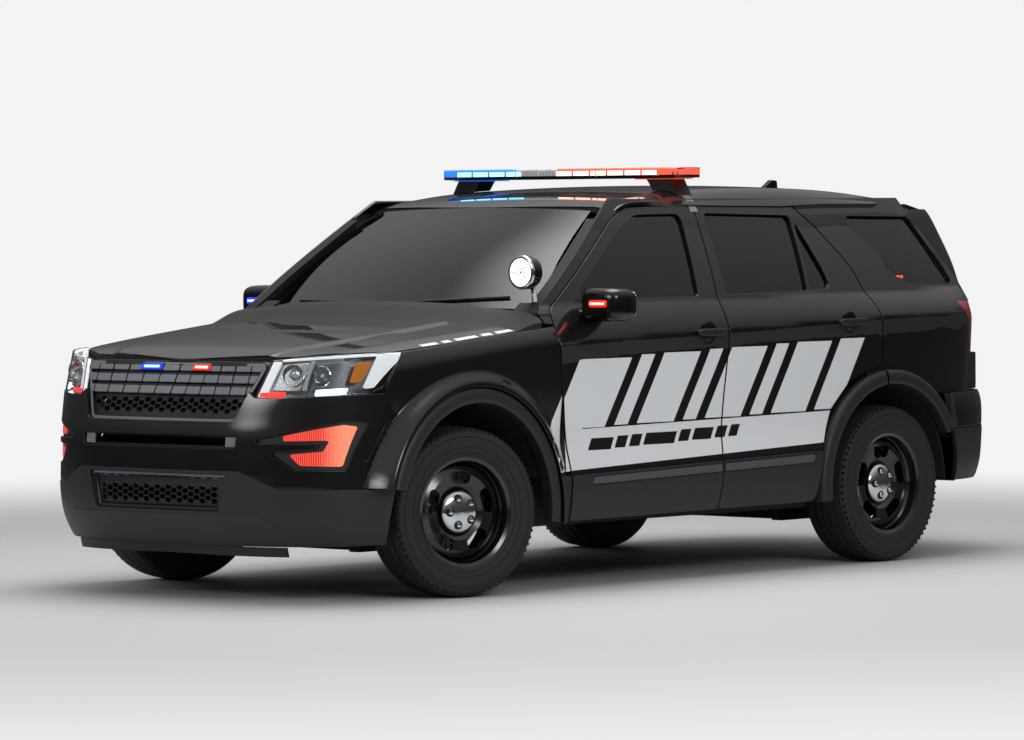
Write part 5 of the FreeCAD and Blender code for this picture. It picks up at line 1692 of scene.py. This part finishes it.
class SUV_OT_trim(bpy.types.Operator):
    """Lower cladding, arch rings, handles and their cups"""
    bl_idname = "suv.trim"
    bl_label = "Side trim"

    def execute(self, context):
        step = context.scene.suv_sizes.mesh_step
        place = from_side(side_x)
        below = below_cladding(-1300.0, 1000.0, 24, 3.0)
        strip = curve(STRIP, 20.0)
        for name, outline, _, clip in DOORS:
            edge = grown(curve(outline), -HALF_GAP)
            drop = [] if clip is None else [clip]
            sheet = shell(place, [edge, below], drop + [grown(strip, 5.0)], step, 2.5,
                          7.0, lift=9.6)
            groove = shell(place, [edge, grown(strip, 6.0)], (), step, 0.3, 0.5,
                           lift=5.0)
            raised = shell(place, [grown(edge, -8.0), strip], (), step, 2.5, 5.0,
                           lift=10.6)
            left, right = door_pair(name, "cladding", merged([sheet, groove]),
                                    moulding())
            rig.replaces(left, name + "_trim_left")
            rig.replaces(right, name + "_trim_right")
            door_pair(name, "strip", raised, strip_finish())
        front_ring = arc_band(ARCH_PROFILE, FRONT_AXLE_Y, -7.7, 167.0)
        rear_ring = arc_band(ARCH_PROFILE, REAR_AXLE_Y, 28.5, 95.5)
        door_part = arc_band(ARCH_PROFILE, REAR_AXLE_Y, 96.9, 187.0)
        left, _ = pair("arch_rings", merged([front_ring, rear_ring]), moulding(), "body")
        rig.replaces(left, "arch_trims")
        pair("door_arch_ring", door_part, moulding(), "rear_door_left",
             "rear_door_right")
        cup = lathe(((0.4, 52), (0.8, 51), (0.6, 47), (0.2, 40), (0.1, 0)), 48)
        for name, y, z in HANDLES:
            spot, way = stand(place, y + 32, z - 4, 0.6)
            door_pair(name, "cup", placed(cup, spot, way), black_film())
            door_pair(name, "handle", handle_piece(y, z), moulding())
        pair("mirror_shell", mirror_piece(), gloss_plastic(), "front_door_left",
             "front_door_right")
        return {"FINISHED"}


# ---------------------------------------------------------------- glass
# Windshield by millimetres across and up from the cowl, and its length up.
WINDSHIELD = ((-750, 6, 20), (750, 6, 20), (788, 54, 30), (632, 752, 0),
              (-632, 752, 0), (-788, 54, 30))
SCREEN_RISE = 750.0


def screen(u, t):
    """Windshield outside, u across from -1 to 1 and t up from the cowl."""
    x = u * (812 - 178 * t)
    y = -1088 + 614 * t + (118 - 62 * t) * u * u - 22 * np.sin(math.pi * t)
    z = 1216 + 436 * t - (10 + 6 * t) * u * u + 14 * np.sin(math.pi * t)
    return np.stack([x, y, z], -1)


def screen_place(a, b):
    """Windshield by millimetres across and up."""
    t = b / SCREEN_RISE
    return screen(a / (812 - 178 * t), t)


def pane(place, outline, lift=-14.0, sign=1):
    """Glass 4 mm thick, set back into its opening."""
    return shell(place, [grown(curve(outline), -0.8)], (), 26.0, 0.4, sign=sign,
                 lift=lift, thick=4.0)


class SUV_OT_glass(bpy.types.Operator):
    """Panes of the doors, quarters, windshield and liftgate"""
    bl_idname = "suv.glass"
    bl_label = "Glass"

    def execute(self, context):
        place = from_side(side_x)
        for name, _, panes, _ in DOORS:
            data = merged([pane(place, outline) for outline in panes])
            left, right = door_pair(name, "pane", data, tinted_glass())
            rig.replaces(left, name + "_glass_left")
            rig.replaces(right, name + "_glass_right")
        left, _ = pair("quarter_pane", pane(place, QUARTER_WINDOW), tinted_glass(),
                       "body")
        front = shell(screen_place, [curve(WINDSHIELD, 30.0)], (), 30.0, 0.4, lift=-0.2,
                      thick=4.6)
        put("windshield_pane", front, screen_glass(), "body")
        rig.replaces(left, "fixed_glass")
        rear = put("rear_pane", pane(from_behind, REAR_SCREEN, -6.0, -1), tinted_glass(),
                   "liftgate")
        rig.replaces(rear, "rear_glass")
        return {"FINISHED"}


# ---------------------------------------------------------------- roof equipment
BAR_TOP = 1830.0
BAR_ENDS = box_outline(-735, 735, 62, 258, 70)
# Lens sections along the bar: from, to, finish.
BAR_LENSES = (("blue", -740, -250, bar_blue), ("clear", -249, -1, bar_clear),
              ("red", 1, 740, bar_red))
# Lamp modules behind the lenses, in a front and a back row.
MODULES = 12
MODULE_ROWS = (("front", 62.0 - 0.6), ("back", 258.0 + 0.6))
MODULE_HEIGHTS = 1797, 1818
BAR_FLOOR = 1794
# The strap's two edges along the car, and its height off the roof.
STRAP_EDGES = (134.0, 186.0)
STRAP_LIFT = 2.0


def level(height):
    """Place on a level surface, by (x, y)."""
    return from_above(lambda x, y: height + 0 * (x + y))


class SUV_OT_roof(bpy.types.Operator):
    """Light bar, its feet and straps, antenna and spoiler"""
    bl_idname = "suv.roof"
    bl_label = "Roof equipment"

    def execute(self, context):
        cover("light_bar", black_plastic(), 2.0)
        ends = curve(BAR_ENDS, 10.0)
        for name, x0, x1, used in BAR_LENSES:
            part = curve(box_outline(x0, x1, 40, 280), 10.0)
            lens = shell(level(BAR_TOP), [ends, part], (), 20.0, 9.0, 24.0)
            put("bar_lens_" + name, lens, used(), "body")
        pitch = 1240.0 / MODULES
        for k in range(MODULES):
            x = -620 + (k + 0.5) * pitch
            # The middle modules are silvered reflectors given a painted glow.
            used = bar_blue_lit if x < -250 else painted_glow_flutes if x < 0 else bar_red_lit
            for row, y in MODULE_ROWS:
                data = block(x - pitch * 0.44, x + pitch * 0.44, y - 0.5, y + 0.5,
                             *MODULE_HEIGHTS)
                put("bar_module_%d_%s" % (k, row), data, used(), "body")
        for k in (1, 4, 8, 11):
            x = -735 + k * 122.5
            rib = block(x - 2, x + 2, 60.5, 259.5, 1792, 1823)
            put("bar_rib_%d" % k, rib, clear_ribs(), "body")
        plate = shell(level(BAR_FLOOR),
                      [curve(box_outline(-700, 700, 84, 236, 30), 10.0)], (),
                      22.0, 2.0, thick=8.0)
        put("bar_base", plate, black_plastic(), "body")
        xs = np.linspace(640, WINDOW(160) - LEAN, 8)
        zs = np.linspace(1676, 1630, 6)
        rows = [[(x, y, roof_z(x, y) + STRAP_LIFT) for x in xs]
                + [(float(side_x(y, z)) + STRAP_LIFT, y, z) for z in zs]
                for y in STRAP_EDGES]
        pair("bar_strap", ribbon(np.array(rows, float)), light_plastic(), "body")
        # Blue and red slabs under the bar's base: a painted glow of the bar's light beneath it, not lamps of their
        # own.
        for name, x0, x1, used in (("blue", -660, -430, bar_blue()),
                                   ("red", 450, 680, bar_red())):
            glow = block(x0, x1, 96, 224, 1777, 1781)
            put("bar_underglow_" + name, glow, used, "body")
        paint("antenna", gloss_plastic())
        paint("spoiler", enamel(context))
        return {"FINISHED"}


def ribbon(rows):
    """Strip between two rows of points, with normals from its own slope."""
    first, second = rows
    count = len(first)
    along = np.gradient(first, axis=0)
    normals = unit(np.cross(along, second - first))
    if normals[:, 2].mean() < 0:
        normals = -normals
    points = np.concatenate([first, second])
    faces = [(i, i + 1, count + i + 1, count + i) for i in range(count - 1)]
    spot = points[list(faces[0])]
    turn = np.cross(spot[1] - spot[0], spot[2] - spot[1])
    if turn @ normals[0] < 0:
        faces = [f[::-1] for f in faces]
    return Data(points, faces, np.concatenate([normals, normals]))


# ---------------------------------------------------------------- wheels
TREAD_RINGS = ((-96, -62), (-54, -20), (-12, 12), (20, 54), (62, 96))
TREAD_BLOCKS = 72
TREAD_HALF = 96.0
GROOVE_DEPTH = 7.5
BOSSES = 5
BOSS_RADIUS = 58.0


def crown(x):
    """Radius of the tread at x from its middle."""
    return AXLE_Z - 5.5 * (x / TREAD_HALF) ** 2


def tyre():
    """Tyre with a shouldered tread, turned about X, outer side at +X."""
    half = ((86, 246), (92, 232), (101, 229), (110, 240), (117, 262), (121, 290),
            (122, 312), (119.5, 335), (112, 349), (102, 355.5))
    middle = [(x, crown(x) - (GROOVE_DEPTH if x in (61.5, 54.5, 19.5, 12.5) else 0.0))
              for x in (96.5, 96, 62, 61.5, 54.5, 54, 20, 19.5, 12.5, 12)]
    outer = [*half, *middle]
    return lathe([(-x, r) for x, r in outer] + outer[::-1], 96, 40.0)


def sipe_shade_ribs():
    """Painted shade of the sipes: thin raised ribs of darker rubber across the tread, at the rings' edge."""
    pieces = []
    for k in range(TREAD_BLOCKS):
        angle = 2 * math.pi * k / TREAD_BLOCKS
        for i, (x0, x1) in enumerate(TREAD_RINGS):
            top = crown(max(abs(x0), abs(x1)))
            twist = angle + (0.5 if i % 2 else 0.0) * 2 * math.pi / TREAD_BLOCKS
            bar = block(x0 + 0.6, x1 - 0.6, -13.0, -10.6, top - 3.0, top + 0.35)
            pieces.append(bar.turned(twist))
    return merged(pieces)


def side_ribs():
    """Raised rings and shoulder lugs on the side wall."""
    pieces = []
    for radius, x in ((252, 113.8), (276, 119.4), (322, 121.6)):
        pieces.append(lathe(((x - 1.5, radius - 2.4), (x + 1.2, radius - 1.2),
                             (x + 1.2, radius + 1.2), (x - 1.5, radius + 2.4)), 96))
    lug = block(103, 116.6, -4.6, 4.6, 342, 352.5)
    pieces += [lug.turned(2 * math.pi * k / TREAD_BLOCKS) for k in range(TREAD_BLOCKS)]
    return merged(pieces)


def round_cap(piece):
    """The piece at each of the cap's bosses."""
    angles = [2 * math.pi * (k + 0.5) / BOSSES for k in range(BOSSES)]
    return [piece.shifted(0, BOSS_RADIUS * math.cos(angle), BOSS_RADIUS * math.sin(angle))
            for angle in angles]


def hub_cap():
    """Polished cap with five bosses."""
    cap = lathe(((54, 0), (54, 90), (57, 92), (62, 90), (69, 78), (75, 56), (77.5, 30),
                 (78, 0)), 64, 40)
    boss = lathe(((64, 0), (64, 14), (80, 13), (84, 9.5), (85, 0)), 32, 40)
    return merged([cap] + round_cap(boss))


def boss_grooves():
    """Dark ring round each boss of the cap."""
    return merged(round_cap(lathe(((66, 14), (66, 20), (77.4, 19), (77.4, 14)), 32, 40)))


WHEELS = (("front_left", 1, FRONT_AXLE_Y), ("front_right", -1, FRONT_AXLE_Y),
          ("rear_left", 1, REAR_AXLE_Y), ("rear_right", -1, REAR_AXLE_Y))


def on_axle(data, side, axle_y):
    """Moves a piece made about X to one wheel, front ones turned with the steering."""
    piece = data.shifted(WHEEL_X, 0, 0)
    if side < 0:
        piece = piece.mirrored()
    if axle_y == FRONT_AXLE_Y:
        about = Matrix.Rotation(STEER_REST, 4, "Z")
        pin = Matrix.Translation((side * KINGPIN_X, 0, 0))
        piece = piece.moved(pin @ about @ pin.inverted())
    return piece.shifted(0, axle_y, AXLE_Z)


class SUV_OT_wheels(bpy.types.Operator):
    """Tyres with tread, caps and discs"""
    bl_idname = "suv.wheels"
    bl_label = "Wheels"

    def execute(self, context):
        tread = tyre()
        cuts = merged([sipe_shade_ribs(), side_ribs()])
        disc = lathe(((-50, 90), (-50, 164), (-26, 164), (-26, 90)), 64)
        for name, side, axle_y in WHEELS:
            body = "wheel_" + name
            obj = put("tread_" + name, on_axle(tread, side, axle_y), rubber(), body)
            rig.replaces(obj, "tyre_" + name)
            # The sipes' darkness is painted shade, on raised ribs instead of cut grooves.
            for piece, data, used in (("tread_ribs_", cuts, dark_rubber_and_sipe_shade),
                                      ("hub_cap_", hub_cap(), chrome),
                                      ("boss_rings_", boss_grooves(), wheel_enamel),
                                      ("disc_face_", disc, machined_iron)):
                put(piece + name, on_axle(data, side, axle_y), used(), body)
            paint(body, wheel_enamel())
        return {"FINISHED"}


# ---------------------------------------------------------------- fittings
# Middle of the spotlight's glass.
SPOT_FRONT = (802.0, -1073.6, 1372.0)
# (side, name, lens colour, diode colour) of the lamps on the mirrors
MIRROR_LAMPS = ((1, "left", "FF1A08", "FFD9C4"), (-1, "right", "1030FF", "D4E4FF"))


class SUV_OT_fittings(bpy.types.Operator):
    """Spotlight, mirror lamps, wipers and small parts"""
    bl_idname = "suv.fittings"
    bl_label = "Fittings"

    def execute(self, context):
        paint("spotlight", gloss_plastic())
        lamp = block(-1.5, 1.5, -24, 24, -6, 6)
        x = side_x(1505, 1318) - 1
        for side, name in ((1, "left"), (-1, "right")):
            put("quarter_lamp_" + name, lamp.shifted(side * x, 1505, 1318),
                lit("quarter_lamp", "FF4430", 1.6), "body")
        face = lathe(((0, 0), (0, 60), (2.4, 62), (2.4, 0)), 64)
        spot = np.array(SPOT_FRONT)
        put("spot_face", placed(face, spot + (0, 2.0, 0), (0, -1, 0)),
            lit("spot", "E8F1FF", 2.2), "body")
        rings = [lathe(((-1, radius - 1.6), (1.2, radius - 1.6), (1.2, radius + 1.6),
                        (-1, radius + 1.6)), 48) for radius in (16, 32, 48)]
        bar = block(-1, 1.2, -1.0, 1.0, 0, 60)
        rings += [bar.turned(math.pi / 4 * k) for k in range(8)]
        put("spot_lens_ribs", placed(merged(rings), spot + (0, -0.4, 0), (0, -1, 0)),
            chrome(), "body")
        bezel = lathe(((-3, 60), (4, 60.5), (5, 66), (2, 72), (-6, 75)), 64, 40)
        put("spot_bezel", placed(bezel, spot, (0, -1, 0)), chrome(), "body")
        put("spot_stem", rod((806, -1004, 1322), (838, -1021, 1240), 12.0), chrome(),
            "body")
        lens = rounded_box((992, -853, 1218), (1096, -836, 1250), 0.4, 32)
        glow = block(1004, 1084, -854.2, -852.0, 1229, 1240)
        glass = rounded_box((950, -690, 1174), (1126, -684.5, 1286), 0.3, 40)
        for side, name, colour, core in MIRROR_LAMPS:
            for piece, data, used in (
                    ("mirror_lamp_", lens, lit("mirror_" + name, colour, 1.0)),
                    ("mirror_diodes_", glow, lit("diodes_" + name, core, 1.6))):
                put(piece + name, data if side > 0 else data.mirrored(), used,
                    "front_door_" + name)
        pair("mirror_glass", glass, mirror_glass(), "front_door_left",
             "front_door_right")
        for used, nodes in (
                (black_plastic, ("wipers", "cowl")), (pipe_steel, ("exhaust",)),
                (cast_metal, ("engine_block", "knuckle_front_left",
                              "knuckle_front_right")),
                (under_paint, ("underbody", "front_subframe", "rear_subframe",
                               "wheel_liners")),
                (cabin_plastic, ("dashboard",))):
            for node in nodes:
                paint(node, used())
        return {"FINISHED"}


# ---------------------------------------------------------------- seats
# (name, x from, x to, y of the back's foot, top of the cushion, height of the back)
SEATS = (("front_left", 130, 640, -110, 720, 560),
         ("front_right", -640, -130, -110, 720, 560), ("rear", -620, 620, 790, 740, 500))
SEAT_FRAMES = 18
# The most that the padding may stand out from its block, in metres.
PADDING = 0.026
WELT_INSET = 22
# Middle of the steering wheel, its radius and the radius of its rim.
STEERING_WHEEL = (375, -470, 985)
WHEEL_RADIUS, RIM_RADIUS = 185, 15


def seat_blanks():
    """Cushion, back and head-rest blocks of every seat, as (name, corners)."""
    blanks = []
    for name, x0, x1, y, z, tall in SEATS:
        parts = 1 if name != "rear" else 3
        width = (x1 - x0) / parts
        for k in range(parts):
            a, b = x0 + k * width + 6, x0 + (k + 1) * width - 6
            tag = name if parts == 1 else "rear_%d" % k
            blanks.append(("cushion_" + tag, a, b, ((y - 330, z - 108), (y + 150, z - 100),
                                                    (y + 150, z - 10), (y - 330, z - 4))))
            blanks.append(("back_" + tag, a, b, ((y + 50, z - 20), (y + 138, z - 40),
                                                 (y + 236, z + tall - 12),
                                                 (y + 160, z + tall - 12))))
            middle = (a + b) / 2
            blanks.append(("head_" + tag, middle - 118, middle + 118,
                           ((y + 178, z + tall + 8), (y + 228, z + tall + 8),
                            (y + 252, z + tall + 150), (y + 184, z + tall + 150))))
    return blanks


def cushion(name, x0, x1, corners, material):
    """One padded block: a closed cloth skin blown up a little, then smoothed."""
    data = extruded(corners, x0, x1)
    obj = linked(name, (data.points * MM).tolist(), data.faces, material)
    weld = obj.modifiers.new("weld", "WELD")
    weld.merge_threshold = 0.0001
    fine = obj.modifiers.new("fine", "REMESH")
    fine.mode = "VOXEL"
    fine.voxel_size = 0.016 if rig.quick() else 0.009
    fine.use_smooth_shade = True
    settle(obj, ("weld", "fine"))
    start = np.array([v.co[:] for v in obj.data.vertices])
    cloth = obj.modifiers.new("cloth", "CLOTH")
    cloth.settings.use_pressure = True
    cloth.settings.uniform_pressure_force = 4.0
    cloth.settings.effector_weights.gravity = 0.0
    cloth.settings.quality = 4
    cloth.point_cache.frame_start = 1
    cloth.point_cache.frame_end = SEAT_FRAMES
    for frame_number in range(1, SEAT_FRAMES + 1):
        bpy.context.scene.frame_set(frame_number)
    settle(obj, ("cloth",))
    bpy.context.scene.frame_set(1)
    moved = np.array([v.co[:] for v in obj.data.vertices]) - start
    length = np.linalg.norm(moved, axis=1)
    if not np.all(np.isfinite(length)) or length.max() < 0.001:
        raise RuntimeError(name + " did not fill out")
    moved *= (np.minimum(length, PADDING) / np.maximum(length, 1e-9))[:, None]
    obj.data.vertices.foreach_set("co", (start + moved).ravel())
    obj.data.update()
    soft = obj.modifiers.new("soft", "SMOOTH")
    soft.iterations = 3
    obj.data.shade_smooth()
    return obj


def settle(obj, names):
    """Applies modifiers for good."""
    bpy.context.view_layer.objects.active = obj
    for name in names:
        with bpy.context.temp_override(object=obj, active_object=obj,
                                       selected_objects=[obj]):
            bpy.ops.object.modifier_apply(modifier=name)


class SUV_OT_cabin(bpy.types.Operator):
    """Padded seats, seams, base frames, wheel and inside mirror"""
    bl_idname = "suv.cabin"
    bl_label = "Cabin"

    def execute(self, context):
        cloth = seat_cloth()
        first = None
        for name, x0, x1, corners in seat_blanks():
            obj = cushion(name, x0, x1, corners, cloth)
            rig.ride(obj, "body")
            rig.padded(obj, 0.8)
            first = first or obj
            # Welts lie on top of a cushion, and on the front of a back or head rest.
            flat = name.startswith("cushion")
            (ya, za), (yb, zb) = corners[2 if flat else 0], corners[3]
            way, lift = (0, 15) if flat else (-15, 0)
            for k, x in enumerate((x0 + WELT_INSET, x1 - WELT_INSET)):
                data = rod((x, ya * 0.85 + yb * 0.15 + way, za + lift),
                           (x, ya * 0.15 + yb * 0.85 + way, zb + lift), 2.4, 8)
                put("welt_%s_%d" % (name, k), data, thread(), "body")
        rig.replaces(first, "seats")
        bases = []
        for name, x0, x1, y, z, tall in SEATS:
            bases.append(block(x0 + 40, x1 - 40, y - 290, y + 70, 432, z - 100))
            for x in ((x0 + x1) / 2 - 50, (x0 + x1) / 2 + 50):
                bases.append(rod((x, y + 196, z + tall - 30), (x, y + 208, z + tall + 40),
                                 6.5))
        put("seat_bases", merged(bases), cabin_plastic(), "body")
        rim = ring_tube(STEERING_WHEEL, (0, -0.86, 0.5), WHEEL_RADIUS, RIM_RADIUS)
        x, y, z = STEERING_WHEEL
        spokes = [rod((x, y, z), (x + u, y + v * 0.5, z + v * 0.86), 11, 10)
                  for u, v in ((-178, 0), (178, 0), (0, -178))]
        hub = rod((x, y - 10, z + 8), (x, y - 130, z - 60), 34)
        put("steering_wheel", merged([rim, hub] + spokes), cabin_plastic(), "body")
        mirror = block(-125, 125, -566, -548, 1500, 1560)
        stalk = rod((0, -560, 1540), (0, -540, 1596), 8)
        put("inside_mirror", merged([mirror, stalk]), gloss_plastic(), "body")
        return {"FINISHED"}


def ring_tube(centre, axis, radius, tube, count=48, sides=12):
    """Round ring of round section."""
    points, faces, normals = [], [], []
    for i in range(count):
        a = 2 * math.pi * i / count
        for k in range(sides):
            b = 2 * math.pi * k / sides
            out = np.array((0, math.cos(a), math.sin(a)))
            normal = out * math.cos(b) + np.array((math.sin(b), 0, 0))
            points.append(out * radius + normal * tube)
            normals.append(normal)
            j = (i + 1) % count
            m = (k + 1) % sides
            faces.append((i * sides + k, i * sides + m, j * sides + m, j * sides + k))
    return placed(Data(points, faces, normals), centre, axis)


# ---------------------------------------------------------------- stage
def soft_edges(lamp):
    """Lets a studio lamp fade towards its edges, so that reflections have none."""
    lamp.use_nodes = True
    tree = lamp.node_tree
    tree.nodes.clear()
    spot = add(tree, "ShaderNodeNewGeometry")
    centred = add(tree, "ShaderNodeVectorMath", {1: (0.5, 0.5, 0.0)},
                  {0: (spot, "Parametric")}, operation="SUBTRACT")
    radius = add(tree, "ShaderNodeVectorMath", links={0: (centred, "Vector")},
                 operation="LENGTH")
    fade = add(tree, "ShaderNodeMapRange", {"From Min": 0.08, "From Max": 0.5,
                                            "To Min": 2.4, "To Max": 0.0},
               {"Value": (radius, "Value")}, interpolation_type="SMOOTHSTEP")
    light = add(tree, "ShaderNodeEmission", links={"Strength": (fade, "Result")})
    add(tree, "ShaderNodeOutputLight", links={"Surface": (light, "Emission")})


class SUV_OT_stage(bpy.types.Operator):
    """Floor, soft lamps, world and camera"""
    bl_idname = "suv.stage"
    bl_label = "Stage"

    def execute(self, context):
        scene = context.scene
        # The corner radius of 0 is the height here.
        corners = box_outline(-FLOOR_HALF, FLOOR_HALF, -FLOOR_HALF, FLOOR_HALF)
        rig.stage(linked("floor", corners, [(0, 1, 2, 3)],
                        floor_finish(scene.suv_finish.floor)))
        world = bpy.data.worlds.new("studio")
        world.use_nodes = True
        tree = world.node_tree
        tree.nodes.clear()
        paths = add(tree, "ShaderNodeLightPath")
        way = add(tree, "ShaderNodeTexCoord")
        split = add(tree, "ShaderNodeSeparateXYZ", links={"Vector": (way, "Generated")})
        glow = add(tree, "ShaderNodeMapRange",
                   {"From Min": 0.02, "From Max": 0.7, "To Min": HORIZON_LIGHT,
                    "To Max": SKY_LIGHT}, {"Value": (split, "Z")},
                   interpolation_type="SMOOTHSTEP")
        strength = add(tree, "ShaderNodeMix", {"B": BACKDROP},
                       {"Factor": (paths, "Is Camera Ray"), "A": (glow, "Result")})
        light = add(tree, "ShaderNodeBackground", {"Color": (1, 1, 1, 1)},
                    {"Strength": (strength, "Result")})
        add(tree, "ShaderNodeOutputWorld", links={"Surface": (light, "Background")})
        scene.world = world
        for name, where, aim, width, height, power in LAMPS:
            lamp = bpy.data.lights.new(name, "AREA")
            lamp.shape = "RECTANGLE"
            lamp.size = width
            lamp.size_y = height
            lamp.energy = power
            soft_edges(lamp)
            obj = bpy.data.objects.new(name, lamp)
            obj.location = where
            way = Vector(aim) - Vector(where)
            obj.rotation_euler = way.to_track_quat("-Z", "Y").to_euler()
            context.collection.objects.link(obj)
        camera = bpy.data.cameras.new("camera")
        camera.lens = CAMERA_LENS
        camera.sensor_width = 36.0
        camera.clip_end = 200.0
        yaw, pitch, roll = np.radians(CAMERA_TURN).tolist()
        forward = Vector((math.cos(pitch) * math.sin(yaw), math.cos(pitch) * math.cos(yaw),
                          -math.sin(pitch)))
        right = Vector((math.cos(yaw), -math.sin(yaw), 0))
        up = right.cross(forward)
        level = right * math.cos(roll) + up * math.sin(roll)
        above = up * math.cos(roll) - right * math.sin(roll)
        obj = bpy.data.objects.new("camera", camera)
        turn = Matrix((level, above, -forward)).transposed().to_4x4()
        obj.matrix_world = Matrix.Translation(CAMERA_PLACE) @ turn
        context.collection.objects.link(obj)
        scene.camera = obj
        scene.view_settings.view_transform = "Standard"
        return {"FINISHED"}


FLOOR_HALF = 60.0
# Focal length in mm, place in metres, and yaw, pitch and roll in degrees.
CAMERA_LENS = 186.33
CAMERA_PLACE = (16.111, -18.141, 1.639)
CAMERA_TURN = (-41.995, 1.721, -0.378)
# Brightness of the backdrop as seen, and of the room near the horizon and overhead.
BACKDROP, HORIZON_LIGHT, SKY_LIGHT = 0.9, 0.06, 0.6
# (name, place, aim, width, height, watts), in metres
LAMPS = (
    ("overhead", (0.0, 0.0, 5.5), (0, 0, 0), 6.0, 9.0, 420.0),
    ("side_key", (8.0, -4.0, 4.0), (0, 0, 0.6), 7.0, 3.0, 260.0),
    ("front_fill", (-1.0, -9.0, 3.5), (0, -1, 0.6), 6.0, 2.5, 160.0),
)


class SUV_PT_panel(bpy.types.Panel):
    """Lists the vehicle's parts"""
    bl_idname = "SUV_PT_panel"
    bl_label = "Police vehicle"
    bl_space_type = "VIEW_3D"
    bl_region_type = "UI"
    bl_category = "Police"

    def draw(self, context):
        for group in (context.scene.suv_finish, context.scene.suv_sizes):
            for name in group.__annotations__:
                self.layout.prop(group, name)
        for operator in OPERATORS:
            self.layout.operator(operator.bl_idname)


OPERATORS = (SUV_OT_doors, SUV_OT_fenders, SUV_OT_sides, SUV_OT_tops, SUV_OT_bumpers,
             SUV_OT_front, SUV_OT_graphics, SUV_OT_trim, SUV_OT_glass, SUV_OT_roof,
             SUV_OT_wheels, SUV_OT_fittings, SUV_OT_cabin, SUV_OT_stage)
CLASSES = (SuvFinish, SuvSizes) + OPERATORS + (SUV_PT_panel,)


def register():
    for item in CLASSES:
        bpy.utils.register_class(item)
    bpy.types.Scene.suv_finish = PointerProperty(type=SuvFinish)
    bpy.types.Scene.suv_sizes = PointerProperty(type=SuvSizes)


def unregister():
    del bpy.types.Scene.suv_sizes
    del bpy.types.Scene.suv_finish
    for item in reversed(CLASSES):
        bpy.utils.unregister_class(item)


def main():
    register()
    for operator in OPERATORS:
        getattr(bpy.ops.suv, operator.bl_idname.split(".")[1])()
    boxes = {"cad": [list(p) for p in CAD_BOX], "visual": [list(p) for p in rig.bounds()]}
    with open("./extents.json", "w") as file:
        json.dump(boxes, file)


if __name__ == "__main__":
    main()
